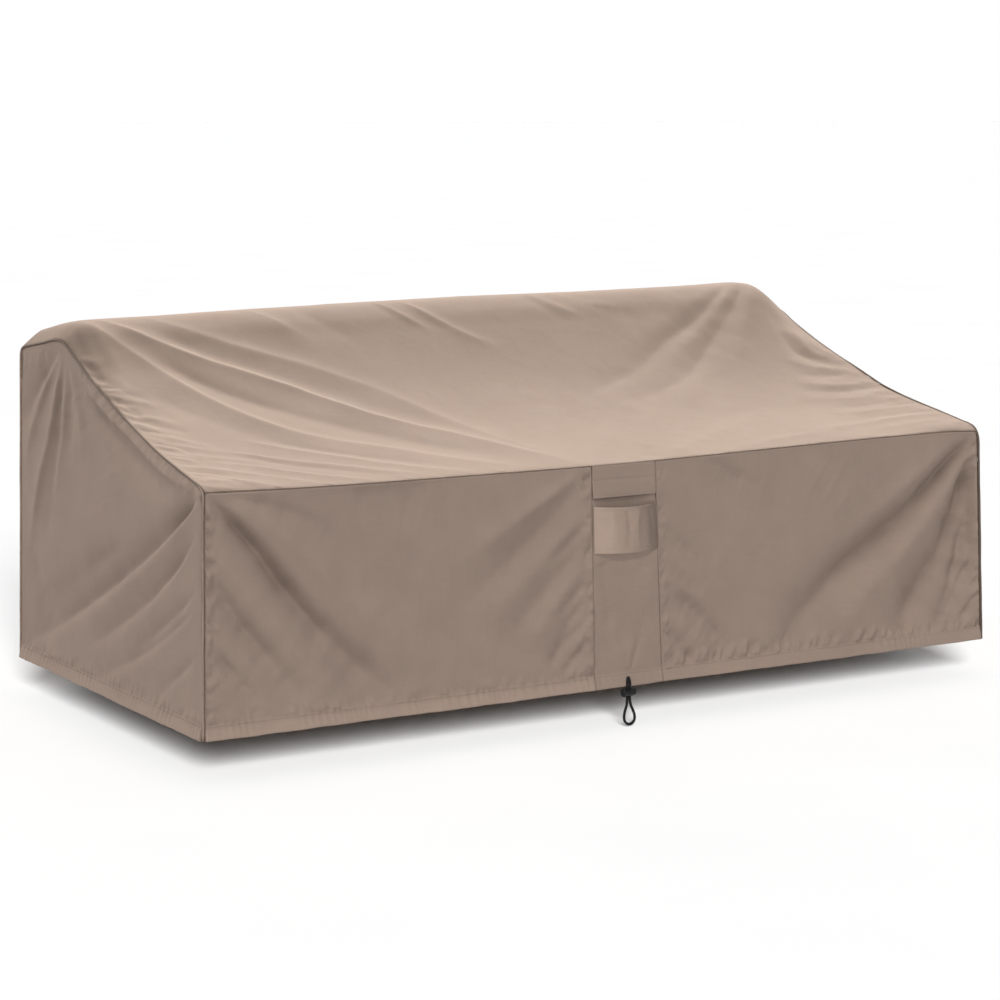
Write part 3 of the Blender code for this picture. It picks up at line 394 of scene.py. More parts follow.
# Rows of short puckers that a seam draws in the cloth beside it
PUCKERS = {
    "top": (
        # from x, y, to x, y, count, heading at both ends in degrees, length, width, height, seed
        ((-0.972, 0.20), (-0.975, -0.10), 17, (-70, -35), 0.060, 0.0060, 0.0026, 3),
        ((-0.975, -0.10), (-0.990, -0.47), 15, (-40, -8), 0.085, 0.0060, 0.0022, 4),
        ((0.966, 0.15), (0.970, -0.12), 10, (215, 172), 0.060, 0.0060, 0.0016, 5),
        ((0.976, -0.12), (0.990, -0.47), 13, (176, 184), 0.080, 0.0060, 0.0020, 6),
        ((-0.95, -0.478), (-0.30, -0.478), 10, (60, 130), 0.030, 0.0055, 0.0010, 7),
        ((0.10, -0.478), (0.95, -0.478), 14, (50, 140), 0.028, 0.0055, 0.0010, 8),
        ((-0.955, 0.476), (0.955, 0.476), 34, (-60, -120), 0.030, 0.0060, 0.0012, 9),
    ),
    "front": (
        # from x, height, to x, height, count, heading at both ends, length, width, height, seed
        ((-0.996, 0.47), (-0.997, 0.04), 46, (-30, 10), 0.026, 0.0040, 0.0040, 11),
        ((-0.086, 0.47), (-0.082, 0.04), 40, (205, 235), 0.028, 0.0042, 0.0036, 12),
        ((0.080, 0.47), (0.092, 0.04), 38, (-15, -40), 0.024, 0.0040, 0.0032, 13),
        ((0.996, 0.47), (0.997, 0.04), 40, (215, 236), 0.034, 0.0042, 0.0030, 14),
        ((-0.99, 0.032), (-0.10, 0.032), 84, (100, 75), 0.020, 0.0036, 0.0018, 15),
        ((0.10, 0.032), (0.99, 0.032), 84, (70, 55), 0.032, 0.0042, 0.0034, 16),
        ((-0.98, 0.490), (0.98, 0.490), 40, (-120, -60), 0.024, 0.0050, 0.0009, 17),
    ),
    "side": (
        # from y, height, to y, height, count, heading at both ends, length, width, height, seed
        ((0.20, 0.690), (-0.46, 0.495), 46, (250, 215), 0.044, 0.0044, 0.0026, 21),
        ((-0.476, 0.47), (-0.478, 0.04), 40, (155, 190), 0.024, 0.0040, 0.0022, 22),
        ((0.475, 0.66), (0.485, 0.05), 22, (-40, 10), 0.030, 0.0048, 0.0013, 23),
        ((-0.47, 0.032), (0.47, 0.032), 60, (110, 60), 0.022, 0.0042, 0.0018, 24),
        ((0.30, 0.725), (0.47, 0.700), 8, (250, 280), 0.050, 0.0060, 0.0018, 25),
    ),
    "back": (
        # from x, height, to x, height, count, heading at both ends, length, width, height, seed
        ((-0.98, 0.032), (0.98, 0.032), 70, (100, 80), 0.026, 0.0050, 0.0012, 31),
        ((-0.98, 0.750), (0.98, 0.750), 44, (-110, -70), 0.030, 0.0055, 0.0010, 32),
        ((-0.99, 0.68), (-0.995, 0.05), 18, (-30, 10), 0.034, 0.0055, 0.0014, 33),
        ((0.99, 0.68), (0.995, 0.05), 18, (210, 170), 0.034, 0.0055, 0.0014, 34),
    ),
}
PATH_STEP = 0.012  # between the samples of a fold's path
TOP_FOLD_START = 0.10  # how far from its start a fold has its full height
FRONT_FOLD_START = 0.12
SIDE_FOLD_START = 0.13
BACK_FOLD_START = 0.05
SMALL_FOLD_START = 0.01
PUCKER_START = 0.006
TOP_FOLD_SHARE = 0.66  # of the height in its table that a fold of the top has
TOP_CALM_WIDTH = 0.055  # beside the right seam, where they die out
RIDGE_CALM = 0.75  # how much of their height they lose on the ridge
CALM_FROM = 0.225  # where that starts, and over what depth
CALM_RUN = 0.085
SEAM_FADE = 0.022  # over which the folds die out towards a seam
FRONT_FADE = 0.020
SIDE_FADE = 0.018
FOLDS_END = HEM_HEIGHT - 0.006  # the height at which they have died out over the hem
SEAM_ROLL = 0.0024  # how deep the cloth's edge turns into a seam
ROLL_WIDTH = 0.0032
EDGE_STEPS = np.array([0.0, 0.0012, 0.0025, 0.0040, 0.0060, 0.0090])
FREE_STEPS = np.array([0.0, 0.0008, 0.0020, 0.0035, 0.0050, 0.0070])
HEM_STEPS = np.array([0.0, 0.0008, 0.0020, 0.0040, 0.0080, 0.0130, 0.0180, 0.0220, 0.0242, 0.0260, 0.0278,
                      0.0292, 0.0306, 0.0330, 0.0370])
HEM_STEP = 0.0014  # over which the hem's upper edge steps down to the cloth
HEM_STITCH = 0.0260
HEM_DRAWN = 0.0013  # how deep the stitches draw the hem in
DENT_WIDTH = 0.0018  # how far beside a row of stitches the cloth is drawn in
SCALLOP = 0.0175  # length of the scallops that the stitching draws in the hem
SCALLOP_REACH = 0.012  # how far over the stitching they go on
FOLD_MARK_LIFT = 0.012  # how far a fold stands out for the fullest mark: crests paler from wear, sunken cloth darker as painted shade
# Painted highlight: the hem is lighter below its stitching, more on the left front and side than on the right
# front
HEM_HIGHLIGHT_REACH = 0.010  # over which the painted highlight on the hem grows below its stitching
FRONT_LEFT_HEM_HIGHLIGHT = 3.2  # how strong that painted highlight gets
FRONT_RIGHT_HEM_HIGHLIGHT = 0.6
SIDE_HEM_HIGHLIGHT = 2.0
STITCH_PITCH = 0.0042
STITCH_LENGTH = 0.0030
THREAD = 0.00032
SEAM_STITCH = 0.0060  # from a seam to the row of stitches beside it

CORD_ROUTE = (
    # to the side, forward of the hem's face, height
    (0.0010, 0.0032, 0.0215),
    (0.0019, 0.0040, 0.0170),
    (0.0035, 0.0049, 0.0090),
    (0.0035, 0.0050, 0.0000),
    (0.0035, 0.0050, -0.0120),
    (0.0035, 0.0050, -0.0260),
    (0.0039, 0.0050, -0.0340),
    (0.0057, 0.0050, -0.0425),
    (0.0103, 0.0050, -0.0540),
    (0.0133, 0.0050, -0.0640),
    (0.0138, 0.0050, -0.0710),
    (0.0119, 0.0050, -0.0777),
    (0.0069, 0.0050, -0.0826),
    (0.0000, 0.0050, -0.0843),
)
BARREL_PROFILE = (
    # from its left end, radius
    (0.0000, 0.0000),
    (0.0000, 0.0072),
    (0.0010, 0.0087),
    (0.0028, 0.0093),
    (0.0050, 0.0091),
    (0.0068, 0.0081),
    (0.0085, 0.0078),
    (0.0215, 0.0078),
    (0.0230, 0.0083),
    (0.0255, 0.0083),
    (0.0260, 0.0078),
    (0.0260, 0.0000),
)
BUTTON_PROFILE = (
    # from its left end, radius
    (0.0000, 0.0000),
    (0.0000, 0.0070),
    (0.0045, 0.0071),
    (0.0065, 0.0064),
    (0.0075, 0.0048),
    (0.0070, 0.0020),
    (0.0070, 0.0000),
)


# ---------------------------------------------------------------- the cover's plain form


def through(table, at):
    """The columns of a table at these values of its first column, on a smooth curve through its rows."""
    rows = np.array(table, float)
    known = rows[:, 0]
    values = rows[:, 1:]
    slopes = np.gradient(values, known, axis=0)
    at = np.asarray(at, float)
    low = np.clip(np.searchsorted(known, at) - 1, 0, len(known) - 2)
    width = (known[low + 1] - known[low])[..., None]
    part = np.clip((at - known[low])[..., None] / width, 0, 1)
    left = values[low] * (1 + 2 * part) * (1 - part) ** 2
    right = values[low + 1] * part * part * (3 - 2 * part)
    turn = slopes[low] * part * (1 - part) ** 2 - slopes[low + 1] * part * part * (1 - part)
    return left + right + turn * width


def ease(value):
    """0 below 0, 1 above 1 and smooth between."""
    part = np.clip(value, 0, 1)
    return part * part * (3 - 2 * part)


def side_seam_height(y, hand=-1):
    """The seam of the left side over the hem, or with hand 1 that of the right side."""
    rise = np.where(np.asarray(hand) > 0, RIGHT_RISE, 0.0)
    rise = rise * ease((y - RISE_FROM) / RISE_RUN) * ease((RISE_END - y) / RISE_FALL)
    return through(SIDE_SEAM, y)[..., 0] + rise


def seam_drawn(y):
    return through(SIDE_SEAM, y)[..., 1]


def corner_drawn(beside, below):
    """How far the cloth is drawn in beside and below a front top corner."""
    return CORNER_EASE * ease(1 - below / CORNER_REACH) * ease(1 - beside / CORNER_REACH)


def half_width(y):
    return HALF_WIDTH - seam_drawn(y) - corner_drawn(y + HALF_DEPTH, 0)


def front_seam_height(x):
    return through(FRONT_SEAM, x)[..., 0]


def plain_height(x, y):
    """The top over the hem: it rises from the side seams as two shoulders, and its slope sags."""
    seam = side_seam_height(y, x)
    inward = np.maximum(half_width(y) - np.abs(x), 0)
    ridge = ease((y - RIDGE_FROM) / RIDGE_RUN) * through(RIDGE, x)[..., 0]
    crown = through(MIDDLE, y)[..., 0] + ridge - seam
    steep = LOW_SHOULDER + (1 - LOW_SHOULDER) * ease((y - SHOULDER_FROM) / SHOULDER_RUN)
    climb = np.where(x > 0, RIGHT_SLOPE, SHOULDER_SLOPE) * inward * steep
    raised = np.maximum(crown, 1e-4)
    turn = np.where(x > 0, RIGHT_TURN, SHOULDER_TURN)
    shoulder = climb / (1 + (climb / raised) ** turn) ** (1 / turn)
    sag = np.minimum(crown, 0) * ease(inward / SAG_WIDTH)
    return seam + np.where(crown > 0, shoulder, sag)


def top_height(x, y):
    """The top over the hem, with its front edge on the line of the front seam."""
    shift = front_seam_height(x) - plain_height(x, np.full_like(x, -HALF_DEPTH))
    return plain_height(x, y) + shift * ease(1 - (y + HALF_DEPTH) / FRONT_REACH)


def front_wall(x, height, top):
    """Points of the front for its panel coordinates: x at the seam, and the height over the hem."""
    low = 1 - height / top
    flare = HEM_FLARE * low
    known, at_top, at_hem = np.array(DRIFT).T
    drift = np.interp(x, known, at_top) * (1 - low) + np.interp(x, known, at_hem) * low
    drawn = np.sign(x) * corner_drawn(HALF_WIDTH - np.abs(x), top - height)
    return np.stack([x * (1 + flare / HALF_WIDTH) + drift - drawn, -HALF_DEPTH - flare, height], axis=-1)


def back_wall(x, height, top):
    flare = HEM_FLARE * (1 - height / top)
    return np.stack([x * (1 + flare / HALF_WIDTH), HALF_DEPTH + flare, height], axis=-1)




def side_wall(hand, y, height, top):
    """Points of a side: hand is -1 for the left one and 1 for the right one."""
    flare = HEM_FLARE * (1 - height / top)
    drawn = seam_drawn(y) * ease((height / top - DRAWN_FROM) / (1 - DRAWN_FROM))
    drawn = drawn + corner_drawn(y + HALF_DEPTH, top - height)
    return np.stack([hand * (HALF_WIDTH + flare - drawn), y * (1 + flare / HALF_DEPTH), height], axis=-1)


HELD = top_height(np.array([0.0]), np.array([HELD_Y]))[0] - CLOTH
OFFSET = np.array([0.0, -HELD_Y, -HELD])  # from the cover's own frame to the row's


# ---------------------------------------------------------------- folds, puckers and unevenness


def uneven(at, seed):
    """A smooth wavering line between about -1 and 1."""
    turn = 2 * math.pi * np.asarray(at)
    return (np.sin(turn * 1.3 + seed * 1.7) + np.sin(turn * 2.9 + seed * 4.1) * 0.6
            + np.sin(turn * 6.1 + seed * 2.3) * 0.35) / 1.6


def lengths(points):
    """How far along its line each point is."""
    return np.append(0, np.cumsum(np.linalg.norm(np.diff(points, axis=0), axis=1)))


def fold_path(points):
    """Samples of the smooth curve through a fold's points."""
    knots = np.array(points, float)
    far = lengths(knots)
    count = max(6, round(far[-1] / PATH_STEP))
    return through(np.column_stack([far, knots]), np.linspace(0, far[-1], count))


def fold_lift(folds, a, b, start):
    """How far the folds lift each point of a panel: a fold has its full height this far from its start."""
    total = np.zeros_like(a)
    for number, (points, width0, width1, height, tip, lean) in enumerate(folds):
        line = fold_path(points)
        reach = 4 * max(width0, width1)
        near = (a > line[:, 0].min() - reach) & (a < line[:, 0].max() + reach)
        near &= (b > line[:, 1].min() - reach) & (b < line[:, 1].max() + reach)
        pa, pb = a[near], b[near]
        best = np.full_like(pa, np.inf)
        place = np.zeros_like(pa)
        side = np.zeros_like(pa)
        for k in range(len(line) - 1):
            step = line[k + 1] - line[k]
            off_a, off_b = pa - line[k, 0], pb - line[k, 1]
            part = np.clip((off_a * step[0] + off_b * step[1]) / (step @ step), 0, 1)
            far = np.hypot(off_a - part * step[0], off_b - part * step[1])
            nearer = far < best
            best = np.where(nearer, far, best)
            place = np.where(nearer, (k + part) / (len(line) - 1), place)
            side = np.where(nearer, np.sign(step[0] * off_b - step[1] * off_a), side)
        width = (width0 + (width1 - width0) * place) * (1 + lean * side)
        width *= 1 + 0.14 * uneven(place * 1.1, number)
        round_tip = tip * (0.5 + place)
        crest = np.exp(-(np.sqrt(best**2 + round_tip**2) - round_tip) / width - (best / (2.4 * width)) ** 2)
        length = len(line) * PATH_STEP
        fade = ease(place * length / min(start, 0.4 * length)) * (1 - place**5)
        fade *= 1 + 0.22 * uneven(place * 1.7, number + 5)
        total[near] += height * fade * crest
    return total


def pucker_folds(rows):
    """The short folds of rows of puckers, as uneven as sewing draws them."""
    made = []
    for start, end, count, headings, length, width, height, seed in rows:
        draw = np.random.RandomState(seed)
        for k in range(count):
            part = np.clip((k + draw.uniform(-0.45, 0.45)) / (count - 1), 0, 1)
            base = np.array(start) * (1 - part) + np.array(end) * part
            turn = math.radians(headings[0] * (1 - part) + headings[1] * part + draw.uniform(-14, 14))
            bend = turn + math.radians(draw.uniform(-18, 18))
            run = length * draw.uniform(0.45, 1.35)
            middle = base + run / 2 * np.array([math.cos(turn), math.sin(turn)])
            tip = middle + run / 2 * np.array([math.cos(bend), math.sin(bend)])
            size = width * draw.uniform(0.75, 1.35)
            rise = height * draw.uniform(0.35, 1.25) * draw.choice([-1, 1])
            made.append(((tuple(base), tuple(middle), tuple(tip)), size * 0.8, size * 1.5, rise, size, 0.0))
    return made


def mottled(a, b, cell, seed):
    """Smooth noise between -1 and 1 whose bumps are about one cell wide."""
    draw = np.random.RandomState(seed)
    knots = draw.uniform(-1, 1, (64, 64))
    ga, gb = a / cell + 500.37, b / cell + 500.71
    ia, ib = np.floor(ga).astype(int), np.floor(gb).astype(int)
    fa, fb = ease(ga - ia), ease(gb - ib)
    corner = [[knots[(ia + i) % 64, (ib + j) % 64] for j in (0, 1)] for i in (0, 1)]
    low = corner[0][0] * (1 - fb) + corner[0][1] * fb
    high = corner[1][0] * (1 - fb) + corner[1][1] * fb
    return low * (1 - fa) + high * fa


def crumple(a, b, seed):
    """The slight unevenness of cloth that has lain folded."""
    turned_a, turned_b = 0.8 * a - 0.6 * b, 0.6 * a + 0.8 * b
    broad = mottled(a, b * 0.7, 0.16, seed) * 0.0016
    middle = mottled(turned_a, turned_b * 0.6, 0.070, seed + 1) * 0.0009
    return broad + middle + mottled(turned_b, turned_a, 0.032, seed + 2) * 0.00028


def from_ends(values, low, high, reach=SEAM_FADE):
    """0 at both ends of a stretch and 1 away from them."""
    return ease((values - low) / reach) * ease((high - values) / reach)


def rolled(distance):
    """How deep the edge of the cloth is turned in, at this distance from its seam."""
    return SEAM_ROLL * (1 - ease(distance / ROLL_WIDTH))


def dent(height, row):
    """How strongly a row of stitches at its height draws the cloth in, from 0 to 1."""
    return np.exp(-(((height - row) / DENT_WIDTH) ** 2))


def hem_lift(along, height, seed):
    """The doubled hem: proud of the cloth, drawn in and puckered at its stitching, rounded below."""
    proud = (HEM_PROUD + HEM_FULL) * (1 - ease((height - HEM_HEIGHT) / HEM_STEP))
    proud += HEM_TURN * np.clip(1 - height / HEM_HEIGHT, 0, 1)
    about = np.exp(-((np.maximum(height - HEM_STITCH, 0) / SCALLOP_REACH) ** 2))
    about *= 0.3 + 0.7 * ease(height / HEM_STITCH)
    phase = along / SCALLOP + 2.4 * mottled(along, 0.0, 0.085, seed + 1) + height * 7
    waver = np.sin(2 * math.pi * phase) * (0.0008 + 0.0012 * mottled(along, height * 0.25, 0.05, seed + 2))
    waver += mottled(along, height * 0.2, 0.045, seed) * 0.0012
    below = 0.0007 * np.clip(1 - height / 0.0020, 0, 1) ** 2
    return proud - HEM_DRAWN * dent(height, HEM_STITCH) + waver * about - below


def hem_wave(along, height, seed):
    """How the hem's lower edge rises and falls."""
    wave = mottled(along, 0.0, 0.055, seed) * 0.0011 + mottled(along, 0.0, 0.018, seed) * 0.0005
    return wave * np.clip(1 - height / HEM_HEIGHT, 0, 1)


def wall_lift(folds, puckers, along, height, fade, seed, start, gathered=1.0, crumpled=1.0):
    """What lifts a wall's cloth: its folds and unevenness, the puckers beside its seams, and its hem."""
    lift = fold_lift(folds, along, height, start) * fade + crumple(along, height, seed) * crumpled * fade
    drawn = fold_lift(pucker_folds(puckers), along, height, PUCKER_START)
    lift += drawn * ease((height - HEM_STITCH) / 0.004) * gathered
    return lift + hem_lift(along, height, seed + 5)


# ---------------------------------------------------------------- grids and meshes


def spaced(low, high, cell):
    """Values from low to high a cell apart, and closer at both ends."""
    inner = np.linspace(low + EDGE_STEPS[-1], high - EDGE_STEPS[-1], max(2, round((high - low) / cell)))
    return np.concatenate([low + EDGE_STEPS[:-1], inner, high - EDGE_STEPS[-2::-1]])


def graded(low, high, stretches):
    """Like spaced, with a cell of its own in each stretch that ends at the given value."""
    values = []
    start = low + EDGE_STEPS[-1]
    for end, cell in stretches:
        stop = min(end, high - EDGE_STEPS[-1])
        values.append(np.linspace(start, stop, round((stop - start) / cell), endpoint=False))
        start = stop
    return np.concatenate([low + EDGE_STEPS[:-1], *values, high - EDGE_STEPS[::-1]])


def wall_grid(columns, edge, cell):
    """A wall's grid: its columns over the rows of the hem, then rows a cell apart up to its upper edge."""
    tall = float(np.max(edge)) - HEM_STEPS[-1]
    inner = np.linspace(0, 1 - EDGE_STEPS[-1] / tall, round(tall / cell))[1:]
    parts = np.concatenate([inner, 1 - EDGE_STEPS[-2::-1] / tall])[:, None]
    upper = HEM_STEPS[-1] + parts * (edge - HEM_STEPS[-1])
    heights = np.concatenate([np.repeat(HEM_STEPS[:, None], len(edge), axis=1), upper])
    return np.repeat(columns[None], len(heights), axis=0), heights


def upper_edge(top):
    """A wall's upper edge, turned in under the cloth of the top."""
    return top - CLOTH - 0.0002


def nearest(values, wanted):
    """The place in a list of the value that is nearest to the wanted one."""
    return int(np.argmin(np.abs(values - wanted)))


def beside_seams(values, low, high):
    """The rows or columns that are sewn beside the seams at both ends."""
    return [nearest(values, low + SEAM_STITCH), nearest(values, high - SEAM_STITCH)]


def normals_of(points):
    normal = np.cross(np.gradient(points, axis=1), np.gradient(points, axis=0))
    return normal / np.linalg.norm(normal, axis=2, keepdims=True)


def lifted(points, lift):
    """A grid of points moved out along its normals."""
    return points + normals_of(points) * lift[..., None]


def triangles_of(points, run):
    """Triangles of a grid, its quads split along the run of the folds."""
    rows, columns = points.shape[:2]
    index = np.arange(rows * columns).reshape(rows, columns)
    a, b, c, d = index[:-1, :-1], index[:-1, 1:], index[1:, 1:], index[1:, :-1]
    falling = np.stack([a, b, d, b, c, d], axis=-1)
    rising = np.stack([a, b, c, a, c, d], axis=-1)
    edge = {"fall": 2, "rise": -2, "both": 0}[run]
    split = np.where((points[:-1, :-1, 0] < edge)[..., None], falling, rising)
    return split.reshape(-1, 3)


def show(obj):
    bpy.context.scene.collection.objects.link(obj)


def mesh_from(name, shape):
    """A mesh made of a finished bmesh."""
    mesh = bpy.data.meshes.new(name)
    shape.to_mesh(mesh)
    shape.free()
    return mesh


def keep(mesh, name, kind, values):
    """Keeps a value at each point of a mesh, for its finish to read."""
    field = {"FLOAT": "value", "FLOAT_VECTOR": "vector"}[kind]
    flat = np.ascontiguousarray(values, float).ravel()
    mesh.attributes.new(name, kind, "POINT").data.foreach_set(field, flat)


def mesh_of(name, points, faces, across, along):
    """A smooth mesh that knows, at each point, its place across and along the weave."""
    mesh = bpy.data.meshes.new(name)
    mesh.from_pydata((points.reshape(-1, 3) + OFFSET).tolist(), [], faces)
    mesh.shade_smooth()
    keep(mesh, "weave", "FLOAT_VECTOR", np.stack(np.broadcast_arrays(across, along, 0.0), axis=-1))
    return mesh


def add(name, mesh, look, slot, *nodes):
    """Puts a piece in the scene, on the one body, with its finish and the nodes it stands for."""
    mesh.materials.append(look)
    obj = bpy.data.objects.new(name, mesh)
    show(obj)
    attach(obj, "root")
    if nodes:
        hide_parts(*nodes)
    return obj


def cloth(name, node, plain, lift, weave, look, run="both", hem=False, painted_hem_highlight=0.0):
    """A sheet of cloth of its real thickness. A hem's rows are doubled, with a painted highlight below the
    stitching.
    """
    points = lifted(plain, lift)
    mesh = mesh_of(name, points, triangles_of(points, run).tolist(), *weave)
    # painted highlight on the hem, growing from its stitching towards its foot
    pale = painted_hem_highlight * ease((HEM_STITCH - plain[..., 2]) / HEM_HIGHLIGHT_REACH)
    # each point keeps its fold mark: paler on crests from wear, darker where the cloth sinks in as painted
    # shade, plus the hem's painted highlight
    keep(mesh, "worn", "FLOAT", np.clip(lift / FOLD_MARK_LIFT, -1, 1) + pale)
    obj = add(name, mesh, look, "woven_cloth", node)
    shell = obj.modifiers.new("thickness", "SOLIDIFY")
    shell.thickness = HEM_THICKNESS if hem else CLOTH
    shell.offset = -1
    if hem:
        group = obj.vertex_groups.new(name="hem")
        doubled = np.nonzero((plain[..., 2] < HEM_HEIGHT).ravel())[0].tolist()
        group.add(doubled, 1.0, "REPLACE")
        shell.vertex_group = group.name
        shell.thickness_vertex_group = CLOTH / HEM_THICKNESS
    return obj, points


def sample(at, far, values):
    """Points or directions at these distances along a line that knows how far each of its own is."""
    return np.stack([np.interp(at, far, values[:, k]) for k in range(3)], axis=1)


def stitch_line(points, normals):
    """Stitches along a line on the cloth: where each is, which way it runs and which way is out."""
    far = lengths(points)
    at = np.arange(STITCH_PITCH / 2, far[-1], STITCH_PITCH)
    run = sample(at + 0.001, far, points) - sample(at - 0.001, far, points)
    return sample(at, far, points), run, sample(at, far, normals)


def stitching(name, points, rows, columns, look, shown=slice(None)):
    """Stitches as one mesh, on these rows of a sheet's grid and on its columns where they are shown."""
    normals = normals_of(points)
    lines = [stitch_line(points[row], normals[row]) for row in rows]
    lines += [stitch_line(points[shown, column], normals[shown, column]) for column in columns]
    spot, along, out = (np.concatenate([line[k] for line in lines]) for k in range(3))
    along /= np.linalg.norm(along, axis=1, keepdims=True)
    across = np.cross(out, along)
    across /= np.linalg.norm(across, axis=1, keepdims=True)
    out = np.cross(along, across)
    half = STITCH_LENGTH / 2
    shape = [(-half, 0, -THREAD)]  # each dips into the cloth at both ends
    for run in (-half * 0.55, half * 0.55):
        shape += [(run, THREAD, 0), (run, 0, THREAD * 1.3), (run, -THREAD, 0), (run, 0, -THREAD)]
    shape.append((half, 0, -THREAD))
    shape = np.array(shape)
    faces = []
    for a, b in ((1, 2), (2, 3), (3, 4), (4, 1)):
        faces += [(0, b, a), (a, b, b + 4), (a, b + 4, a + 4), (9, a + 4, b + 4)]
    made = (spot[:, None] + along[:, None] * shape[None, :, :1] + across[:, None] * shape[None, :, 1:2]
            + out[:, None] * shape[None, :, 2:])
    number = np.arange(len(spot))
    faces = (np.array(faces)[None] + number[:, None, None] * len(shape)).reshape(-1, 3).tolist()
    weave = (np.repeat(value, len(shape)) for value in (number * STITCH_PITCH, spot[:, 0]))
    return add(name, mesh_of(name, made, faces, *weave), look, "woven_cloth")


def tube(name, route, radius, sides, look, slot, node):
    """A round piece along a route, with round ends: its weave runs along it and around it."""
    ahead = np.gradient(route, axis=0)
    ahead /= np.linalg.norm(ahead, axis=1, keepdims=True)
    side = np.zeros_like(route)
    side[0] = np.cross(ahead[0], [0.3, 0.9, 0.2])
    for k in range(1, len(route)):
        side[k] = side[k - 1] - ahead[k] * (side[k - 1] @ ahead[k])
        side[k] /= np.linalg.norm(side[k])
    side[0] /= np.linalg.norm(side[0])
    up = np.cross(ahead, side)
    angle = np.linspace(0, 2 * math.pi, sides, endpoint=False)
    out = side[:, None] * np.cos(angle)[:, None] + up[:, None] * np.sin(angle)[:, None]
    rings = route[:, None] + out * radius[:, None, None]
    index = np.arange(len(route) * sides).reshape(len(route), sides)
    a, b = index[:-1], index[1:]
    faces = np.stack([a, np.roll(a, -1, axis=1), np.roll(b, -1, axis=1), b], axis=-1).reshape(-1, 4).tolist()
    faces += [index[0][::-1].tolist(), index[-1].tolist()]
    mesh = mesh_of(name, rings, faces, lengths(route)[:, None], angle / (2 * math.pi))
    return add(name, mesh, look, slot, node)


# ---------------------------------------------------------------- materials


class Nodes:
    """The nodes of a material or of the world, with short calls for those used here."""

    def __init__(self, owner, shader="Principled BSDF"):
        owner.use_nodes = True
        self.owner = owner
        self.tree = owner.node_tree
        self.shader = self.tree.nodes[shader]

    def put(self, kind, inputs=(), **settings):
        node = self.tree.nodes.new(kind)
        for key, value in settings.items():
            setattr(node, key, value)
        for key, value in dict(inputs).items():
            self.feed(node.inputs[key], value)
        return node

    def feed(self, socket, value):
        if isinstance(value, bpy.types.NodeSocket):
            self.tree.links.new(value, socket)
        else:
            socket.default_value = value

    def surface(self, **values):
        """Feeds the shader's own sockets, named with underscores for spaces, and gives what was finished."""
        for key, value in values.items():
            self.feed(self.shader.inputs[key.replace("_", " ")], value)
        return self.owner

    def attribute(self, name, output="Fac"):
        return self.put("ShaderNodeAttribute", attribute_name=name).outputs[output]

    def place(self, output="Object"):
        return self.put("ShaderNodeTexCoord").outputs[output]

    def parts(self, vector):
        return self.put("ShaderNodeSeparateXYZ", {0: vector}).outputs

    def math(self, operation, first, second=0.0, third=0.0):
        return self.put("ShaderNodeMath", {0: first, 1: second, 2: third}, operation=operation).outputs[0]

    def wave(self, *values):
        """The sine of a sum."""
        total = values[0]
        for value in values[1:]:
            total = self.math("ADD", total, value)
        return self.math("SINE", total)

    def noise(self, vector, scale, detail=2.0, roughness=0.5, distortion=0.0):
        made = self.put("ShaderNodeTexNoise", {"Vector": vector, "Scale": scale, "Detail": detail,
                                               "Roughness": roughness, "Distortion": distortion})
        return made.outputs["Fac"]

    def ranged(self, value, low, high, first, last, **settings):
        """A value between low and high, carried over to first and last."""
        return self.put("ShaderNodeMapRange", {"Value": value, "From Min": low, "From Max": high,
                                               "To Min": first, "To Max": last}, **settings).outputs[0]

    def spread(self, value, first, last):
        """Noise, which stays around 0.5, spread out from first to last."""
        return self.ranged(value, 0.3, 0.7, first, last)

    def stretched(self, vector, *scale):
        return self.put("ShaderNodeMapping", {"Vector": vector, "Scale": scale}).outputs[0]

    def bump(self, height, strength, distance, **normal):
        sockets = {"Height": height, "Strength": strength, "Distance": distance}
        return self.put("ShaderNodeBump", sockets | normal).outputs[0]

    def colour(self, value):
        made = self.put("ShaderNodeRGB")
        made.outputs[0].default_value = (*value, 1)
        return made.outputs[0]

    def multiplied(self, colour, *factors):
        """A colour times grey factors."""
        for factor in factors:
            colour = self.put("ShaderNodeVectorMath", {0: colour, 1: factor}, operation="MULTIPLY").outputs[0]
        return colour


def material(name):
    return Nodes(bpy.data.materials.new(name))


THREAD_PITCH = 0.00072
BASE = (0.236, 0.178, 0.145)
BASE_PALE = (0.254, 0.192, 0.155)
PIPING_COLOUR = (0.100, 0.072, 0.056)
PIPING_PITCH = 0.0011
THREAD_COLOUR = (0.20, 0.155, 0.125)
CORD_COLOUR = (0.0065, 0.0065, 0.007)
BRAID_PITCH = 0.0030
BRAID_STRANDS = 6  # each way
PLASTIC_COLOUR = (0.0045, 0.0045, 0.005)


